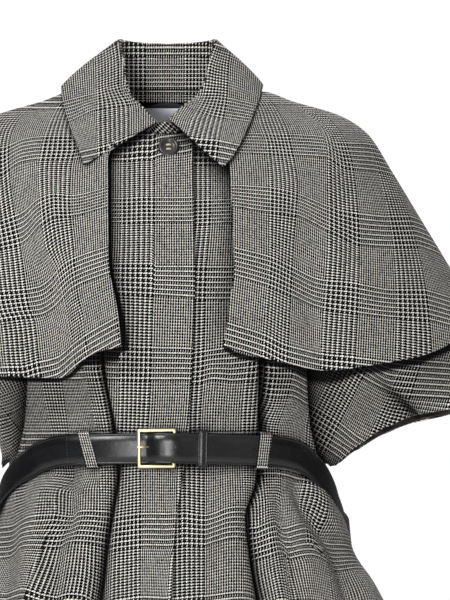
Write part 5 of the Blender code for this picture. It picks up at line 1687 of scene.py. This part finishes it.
def collar_cloth(grid):
    """Cloth coordinates of the collar's fall: charted at both front ends, and by length between."""
    across, down = in_frame(grid)
    length = run(grid, 1, COLLAR_COLUMNS) / PIXEL
    fall_length = run(grid, 0) / PIXEL
    fall_length = fall_length - fall_length[STAND_STEPS]
    warp_right, weft_right = yarns(COLLAR_RIGHT_CHECK, across, down)
    warp_left, weft_left = yarns(COLLAR_LEFT_CHECK, across, down)
    number = np.arange(grid.shape[1])
    first, last = COLLAR_TURN, len(number) - 1 - COLLAR_TURN
    start, stop = length[:, first : first + 1], length[:, last : last + 1]
    share = (length - start) / (stop - start)
    between = (stop - start).mean() / WARP_PITCH
    repeats = round((between - (warp_left[:, last] - warp_right[:, first]).mean()) / REPEAT)
    warp_left = warp_left + repeats * REPEAT
    warp_back = warp_right[:, first : first + 1] * (1 - share) + warp_left[:, last : last + 1] * share
    warp = np.where(number < first, warp_right, np.where(number > last, warp_left, warp_back))
    from_back = np.abs(number - COLLAR_COLUMNS)
    front_share = np.clip(from_back - (COLLAR_COLUMNS - COLLAR_TURN), 0, COLLAR_BLEND) / COLLAR_BLEND
    weft_front = np.where(number < COLLAR_COLUMNS, weft_right, weft_left)
    weft = (fall_length / WEFT_PITCH - REPEAT / 2) * (1 - front_share) + weft_front * front_share
    return in_repeats(warp, weft)


def make_collar(check):
    grid = collar_grid()
    across, down = in_frame(grid)
    stand = in_repeats(*yarns(COLLAR_STAND_CHECK, across, down))
    on_fall = np.zeros(grid.shape[:2], bool)
    on_fall[STAND_STEPS:] = True
    above = (down < STAND_SEAM) & ~on_fall & (grid[..., 1] > 0.0)
    others = [(stand - STAND_SKIP / REPEAT, above), (collar_cloth(grid), on_fall)]
    rests_on = ["collar_band", "cape_back_cloth"]
    sew("collar", grid, stand, check, "folded", rests_on, flip=True, others=others)
    grid = band_grid()
    straight = in_repeats(*yarns(COLLAR_STAND_CHECK, *in_frame(grid)))
    others = [(straight, grid[..., 1] > 0.0)]
    cloth = spread(grid, turn=0.8, warp=4.0)
    rests_on = ["front_right_cloth", "back_cloth"]
    sew("collar_band", grid, cloth, check, "hung", rests_on, flip=True, others=others)


def make_linings(navy, white):
    for name, grid, finish, slot, below in (
        ("neck_lining", neck_lining_grid(), navy, "navy_lining", "back_cloth"),
        ("label", label_grid(), white, "white_label", "neck_lining_cloth"),
    ):
        sew(name, grid, by_length(grid), finish, "hung", [below], slot, THIN_CLOTH)


def loop_grid(spot):
    """A strip that starts on the cloth above the belt, passes over it and ends on the cloth below."""
    half = BELT_HEIGHT / 2
    feet = [half + 0.0010, half + 0.0022, half + 0.0034, half + 0.0042]
    keys = [-key for key in feet[::-1]] + feet
    up = np.linspace(keys[-1], keys[0], 41)
    share = smooth(keys, [0.0, 0.0, 0.6, 1.0, 1.0, 0.6, 0.0, 0.0], up)
    step = 0.01
    speed = np.linalg.norm(belt_ring(spot.phi + step) - belt_ring(spot.phi - step)) / (2 * step)
    across = edged(np.linspace(-LOOP_WIDTH / 2, LOOP_WIDTH / 2, 9))
    phi = spot.phi + (across[None, :] - spot.slant * up[:, None]) / speed
    place, _, outwards, upwards = belt_frame(phi)
    place = place + upwards * up[:, None, None]
    over = place + outwards * (share * (spot.out + 2 * GAP))[:, None, None]
    weight = ramp(share, 0.0, 0.45)[:, None, None]
    return on_cloth(place) * (1 - weight) + weight * over


def make_loops(check):
    for number, spot in enumerate(loop_places()):
        grid = loop_grid(spot)
        cloth = spread(grid, warp=66.0 + 10.0 * (number % 2), weft=60.0 + 3.0 * number)
        sew(spot.name, grid, cloth, check, "hung", ["belt_leather"], thickness=LOOP_THICK)


# ---------------------------------------------------------------- belt, buckle and button


def belt_section():
    """The strap's cross-section: out of its middle, and up, with a crease along each edge."""
    t, h = BELT_THICK / 2, BELT_HEIGHT / 2
    face = [
        (t - 0.0007, h), (t - 0.0002, h - 0.0004), (t, h - 0.0010), (t, h - 0.0019),
        (t - 0.00035, h - 0.0023), (t, h - 0.0027), (t, h * 0.4), (t, 0.0),
    ]
    lower = [(out, -up) for out, up in face[:-1][::-1]]
    back = [(-t + 0.0003, -h), (-t, -h + 0.0004), (-t, 0.0), (-t, h - 0.0004), (-t + 0.0003, h)]
    return np.array(face + lower + back)


def make_belt(leather):
    phi, out = belt_path()
    keys = np.arange(len(phi))
    at = np.linspace(0, len(phi) - 1, (len(phi) - 1) * 5 + 1)
    phi, out = smooth(keys, phi, at), smooth(keys, out, at)
    place, _, outwards, upwards = (part[:, None] for part in belt_frame(phi))
    section = belt_section()
    rings = place + outwards * out[:, None, None] + outwards * section[:, :1] + upwards * section[:, 1:]
    obj = capped_tube("belt_leather", rings, leather)
    applied(obj, hole_cutters())
    settle(obj, "belt")


def round_cutter(frame_of, radius, length):
    bpy.ops.mesh.primitive_cylinder_add(vertices=28, radius=radius, depth=length)
    obj = bpy.context.object
    obj.matrix_world = frame_of
    return obj


BLIND = 0.0007  # what a punched hole stops short of, so that nothing shines through


def hole_cutters():
    """The tail's round holes and the one that the prong uses."""
    holes = []
    for spacings, out in ((1, OVER_BAR_OUT), (3, TAIL_OUT), (4, TAIL_OUT)):
        x = PRONG_HOLE_X + HOLE_SPACING * spacings
        holes.append((x, out + BLIND, HOLE_RADIUS * 0.8, BELT_THICK))
    holes.append((PRONG_SLOT_X, BELT_OUT + LAYER, HOLE_RADIUS, BELT_THICK + 0.0008))
    cutters = []
    for x, distance, radius, length in holes:
        place, forward, out, up = belt_frame(front_phi(x))
        spot = place + out * distance + up * HOLE_UP
        cutters.append(round_cutter(frame_matrix(spot, forward, -up, out), radius, length))
    return cutters


def keeper_rings():
    """A band of leather round both layers of the strap, as rings of its cross-section."""
    high = TAIL_OUT + LAYER + GAP
    path = rounded(BELT_OUT - GAP, high, BELT_HEIGHT / 2 + KEEPER_ROOM, KEEPER_CORNER, 6)
    wide, thick = KEEPER_WIDTH / 2, KEEPER_THICK
    half = [
        (wide, 0.0), (wide, thick - 0.0003), (wide - 0.0003, thick), (wide - 0.0013, thick),
        (wide - 0.0016, thick - 0.00025), (wide - 0.0019, thick),
    ]
    profile = [(-across, rise) for across, rise in half] + [(0.0, thick)] + half[::-1]
    after = np.roll(path, -1, axis=0) - np.roll(path, 1, axis=0)
    normal = unit(np.stack([after[:, 1], -after[:, 0]], axis=-1))
    rings = []
    for across, rise in profile:
        out, up = (path + normal * rise).T
        rings.append(on_belt(np.full(len(out), KEEPER_X + across), out, up))
    return np.array(rings)


def make_keeper(leather):
    rings = keeper_rings()
    rows, columns = rings.shape[:2]
    faces = []
    for i in range(rows):
        here, below = i * columns, (i + 1) % rows * columns
        for j in range(columns):
            after = (j + 1) % columns
            faces.append([here + j, here + after, below + after, below + j])
    obj = mesh_piece("belt_keeper_leather", rings.reshape(-1, 3), faces, leather)
    settle(obj, "belt_keeper")


SEAM_X = -0.1010  # where the strap's lining ends
SEAM_INSET = 0.003  # of a row of stitches, from the strap's edges
KEEPER_SEAM = 0.0029  # from the keeper's middle to each of its rows
STITCH_STEP = 0.0032
STITCH_LENGTH = 0.62 * STITCH_STEP
STITCH_RADIUS = 0.00028
STITCH_SIDES = 6


def stitch(start, direction, out, length, radius):
    """One stitch, a short rod with rounded ends, as rings of points."""
    side = np.cross(direction, out)
    rings = []
    for share, size in ((0.0, 0.35), (0.12, 0.8), (0.5, 1.0), (0.88, 0.8), (1.0, 0.35)):
        centre = start + direction * length * share + out * radius * (0.55 * math.sin(math.pi * share))
        for angle in np.linspace(0, 2 * math.pi, STITCH_SIDES + 1)[:-1]:
            rings.append(centre + (side * math.cos(angle) + out * math.sin(angle)) * radius * size)
    return np.array(rings)


def stitch_mesh(name, stitches, finish):
    points = np.array(stitches)
    count = points.shape[1]
    sides = list(range(STITCH_SIDES))
    faces = []
    for base in range(0, len(points) * count, count):
        tube = grid_faces(count // STITCH_SIDES, STITCH_SIDES, True, False)
        faces += [[base + k for k in face] for face in tube]
        faces.append([base + j for j in sides])
        faces.append([base + count - STITCH_SIDES + j for j in sides[::-1]])
    return mesh_piece(name, points.reshape(-1, 3), faces, finish)


def make_stitches(dark_thread):
    stitches = []
    top = TAIL_OUT + LAYER + GAP + KEEPER_THICK
    for x, out in (
        (SEAM_X, BELT_OUT + BELT_THICK), (KEEPER_X - KEEPER_SEAM, top), (KEEPER_X + KEEPER_SEAM, top),
    ):
        for up in np.arange(-BELT_HEIGHT / 2 + SEAM_INSET, BELT_HEIGHT / 2 - SEAM_INSET, STITCH_STEP):
            start, stop = (on_belt(np.array(x), out, level) for level in (up, up + STITCH_LENGTH))
            outwards = belt_frame(front_phi(x))[2]
            stitches.append(stitch(start, unit(stop - start), outwards, STITCH_LENGTH, STITCH_RADIUS))
    obj = stitch_mesh("belt_stitches", stitches, dark_thread)
    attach(obj, BODY_NAME)


def make_buckle(gold):
    obj = smooth_rod("buckle_frame_bar", buckle_path(), SHOWN_BAR_RADIUS, gold, closed=True)
    settle(obj, "buckle_frame")
    path = prong_path()
    at = np.linspace(0, len(path) - 1, 37)
    path = np.stack([smooth(np.arange(len(path)), column, at) for column in path.T], axis=-1)
    obj = smooth_rod("buckle_prong_bar", path, PRONG_RADIUS, gold)
    settle(obj, "buckle_prong")


# The button's turned profile, from the middle of its face round to the middle of its back, in
# shares of its radius and its thickness.
BUTTON_PROFILE = (
    (0.0, 0.60), (0.30, 0.60), (0.52, 0.62), (0.60, 0.68), (0.66, 0.80), (0.72, 0.94), (0.80, 1.0),
    (0.88, 0.98), (0.95, 0.84), (1.0, 0.62), (1.0, 0.40), (0.96, 0.20), (0.90, 0.06), (0.72, 0.0),
    (0.0, 0.0),
)
BUTTON_SIDES = 72
SEWING_HOLE_RADIUS = 0.0009
STRAND_SHIFT = 0.00045  # each side of the line between two holes
STRAND_RISE = 0.0006  # its middle, above the face
STRAND_SINK = 0.0008  # its ends, in the holes
THREAD_RADIUS = 0.0005


def button_mesh(horn):
    """The button as turned, lying at the origin with its face up."""
    profile = np.array(BUTTON_PROFILE) * (BUTTON_RADIUS, BUTTON_THICK)
    angles = np.linspace(0, 2 * math.pi, BUTTON_SIDES + 1)[:-1]
    inner = profile[1:-1]
    points = [(0.0, 0.0, profile[0, 1])]
    for x, z in inner:
        points += [(x * math.cos(a), x * math.sin(a), z) for a in angles]
    points.append((0.0, 0.0, profile[-1, 1]))
    ring = range(BUTTON_SIDES)
    faces = [[0, 1 + j, 1 + (j + 1) % BUTTON_SIDES] for j in ring]
    faces += [[1 + k for k in face] for face in grid_faces(len(inner), BUTTON_SIDES, True, False)]
    low = 1 + (len(inner) - 1) * BUTTON_SIDES
    faces += [[len(points) - 1, low + (j + 1) % BUTTON_SIDES, low + j] for j in ring]
    return mesh_piece("button_horn", points, faces, horn)


def button_strands(spots):
    """Two threads over each pair of holes, in the button's own frame."""
    strands = []
    for start, stop in (spots[:2], spots[2:]):
        for shift in (-STRAND_SHIFT, STRAND_SHIFT):
            path = []
            for share in np.linspace(0, 1, 13):
                arch = math.sin(math.pi * share)
                rise = Vector((0.0, shift, STRAND_RISE * arch - STRAND_SINK * (1 - arch)))
                path.append(start.lerp(stop, float(share)) + rise)
            strands.append(path)
    return strands


def make_button(horn, cream):
    row, phi = front_place(BODY, BUTTON_X, BUTTON_Z)
    slope = outward(BODY, row, phi)
    cloth = section_point(BODY, row, phi) + slope * (OVERLAP_LIFT + CLOTH)
    normal = unit(slope + (np.array([0.0, -1.0, 0.0]) - slope) * BUTTON_TURN)
    across = np.array([1.0, 0.0, 0.0])
    across = unit(across - normal * across.dot(normal))
    seat = cloth + slope * BUTTON_SHANK - UP * BUTTON_DROP
    placed = frame_matrix(seat, across, np.cross(normal, across), normal)
    obj = button_mesh(horn)
    obj.data.transform(placed)
    spots = []
    for angle in np.radians((45, 135, 225, 315)):
        x, y = HOLES_OUT * math.cos(angle), HOLES_OUT * math.sin(angle)
        spots.append(Vector((x, y, 0.6 * BUTTON_THICK)))
    length = 3 * BUTTON_THICK
    frames = [placed @ Matrix.Translation(spot) for spot in spots]
    applied(obj, [round_cutter(frame_of, SEWING_HOLE_RADIUS, length) for frame_of in frames])
    settle(obj, "button")
    shank = [Vector(cloth - normal * GAP), placed @ Vector((0.0, 0.0, BUTTON_THICK / 2))]
    strands = [[placed @ point for point in path] for path in button_strands(spots)]
    for number, path in enumerate([shank, *strands]):
        obj = smooth_rod(f"button_thread_{number}", path, THREAD_RADIUS, cream)
        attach(obj, BODY_NAME)


# ---------------------------------------------------------------- floor, light and camera

FLOOR_Z = -1.42  # the ground under a wearer whose neck is at this height
FLOOR_RADIUS = 12.0
WORLD_SEEN = 1.02  # a white sweep behind the jacket; it lights less than it shows, and from above
SKY_RISE = (0.40, 0.80)  # sines of the heights over the horizon where its light begins, and is full
SKY_LIGHT = (0.10, 1.00)  # its strength below and above that
LIT = (0.05, 0.0, -0.3)  # what the lights point at


def make_stage():
    bpy.ops.mesh.primitive_circle_add(
        vertices=96, radius=FLOOR_RADIUS, fill_type="NGON", location=(0, 0, FLOOR_Z)
    )
    floor = bpy.context.object
    floor.name = "floor"
    floor.data.materials.append(pale_floor())
    world = bpy.data.worlds.new("studio")
    world.use_nodes = True
    sky = Nodes(world.node_tree)
    background = sky.tree.nodes["Background"]
    sky.put(background.inputs["Color"], (1.0, 1.0, 1.0, 1.0))
    direction = sky.node("ShaderNodeTexCoord").outputs["Generated"]
    rise = sky.node("ShaderNodeSeparateXYZ", {0: direction}).outputs["Z"]
    (low, high), (dim, full) = SKY_RISE, SKY_LIGHT
    light = sky.ranged(rise, From_Min=low, From_Max=high, To_Min=dim, To_Max=full)
    seen = sky.node("ShaderNodeLightPath").outputs["Is Camera Ray"]
    sky.put(background.inputs["Strength"], sky.ranged(seen, To_Min=light, To_Max=WORLD_SEEN))
    bpy.context.scene.world = world
    bpy.context.scene.view_settings.view_transform = "Standard"


def area_light(name, place, size, power):
    data = bpy.data.lights.new(name, "AREA")
    data.shape = "RECTANGLE"
    data.energy = power
    data.size, data.size_y = size
    obj = added(name, data)
    obj.location = place
    obj.rotation_euler = (Vector(LIT) - Vector(place)).to_track_quat("-Z", "Y").to_euler()


def make_lights():
    area_light("key", (-1.4, -2.4, 1.5), (0.8, 0.8), 64)
    area_light("strip", (-0.48, -3.05, -0.35), (0.55, 1.0), 33)
    area_light("fill", (1.8, -2.6, 0.4), (1.6, 1.6), 6)
    area_light("back", (0.5, 2.6, 1.2), (1.6, 1.6), 70)


def make_camera():
    data = bpy.data.cameras.new("camera")
    data.sensor_fit = "VERTICAL"
    data.sensor_height = 24.0
    data.lens = data.sensor_height * CAMERA_DISTANCE / (FRAME_HEIGHT * PIXEL)
    data.clip_end = 50.0
    obj = added("camera", data)
    obj.location = (CAMERA_X, SHARP_Y - CAMERA_DISTANCE, CAMERA_Z)
    obj.rotation_euler = (math.pi / 2, 0.0, 0.0)
    bpy.context.scene.camera = obj


# ---------------------------------------------------------------- the jacket


def build():
    check = wool_check()
    leather = black_leather()
    brown = woven_lining("brown_lining", (0.012, 0.008, 0.006, 1.0), (0.030, 0.021, 0.016, 1.0))
    navy = woven_lining("navy_lining", (0.006, 0.007, 0.013, 1.0), (0.014, 0.016, 0.030, 1.0))
    cream = thread("cream_thread", (0.42, 0.34, 0.20, 1.0), (0.66, 0.56, 0.38, 1.0))
    dark = thread("black_thread", (0.010, 0.010, 0.011, 1.0), (0.030, 0.030, 0.033, 1.0))
    make_camera()
    make_fronts(check)
    make_back(check)
    make_sleeves(check, brown)
    make_cape(check)
    make_collar(check)
    make_linings(navy, label_weave())
    make_loops(check)
    make_belt(leather)
    make_keeper(leather)
    make_stitches(dark)
    make_buckle(polished_gold())
    make_button(dark_horn(), cream)
    make_stage()
    make_lights()


build()

bpy.context.view_layer.update()
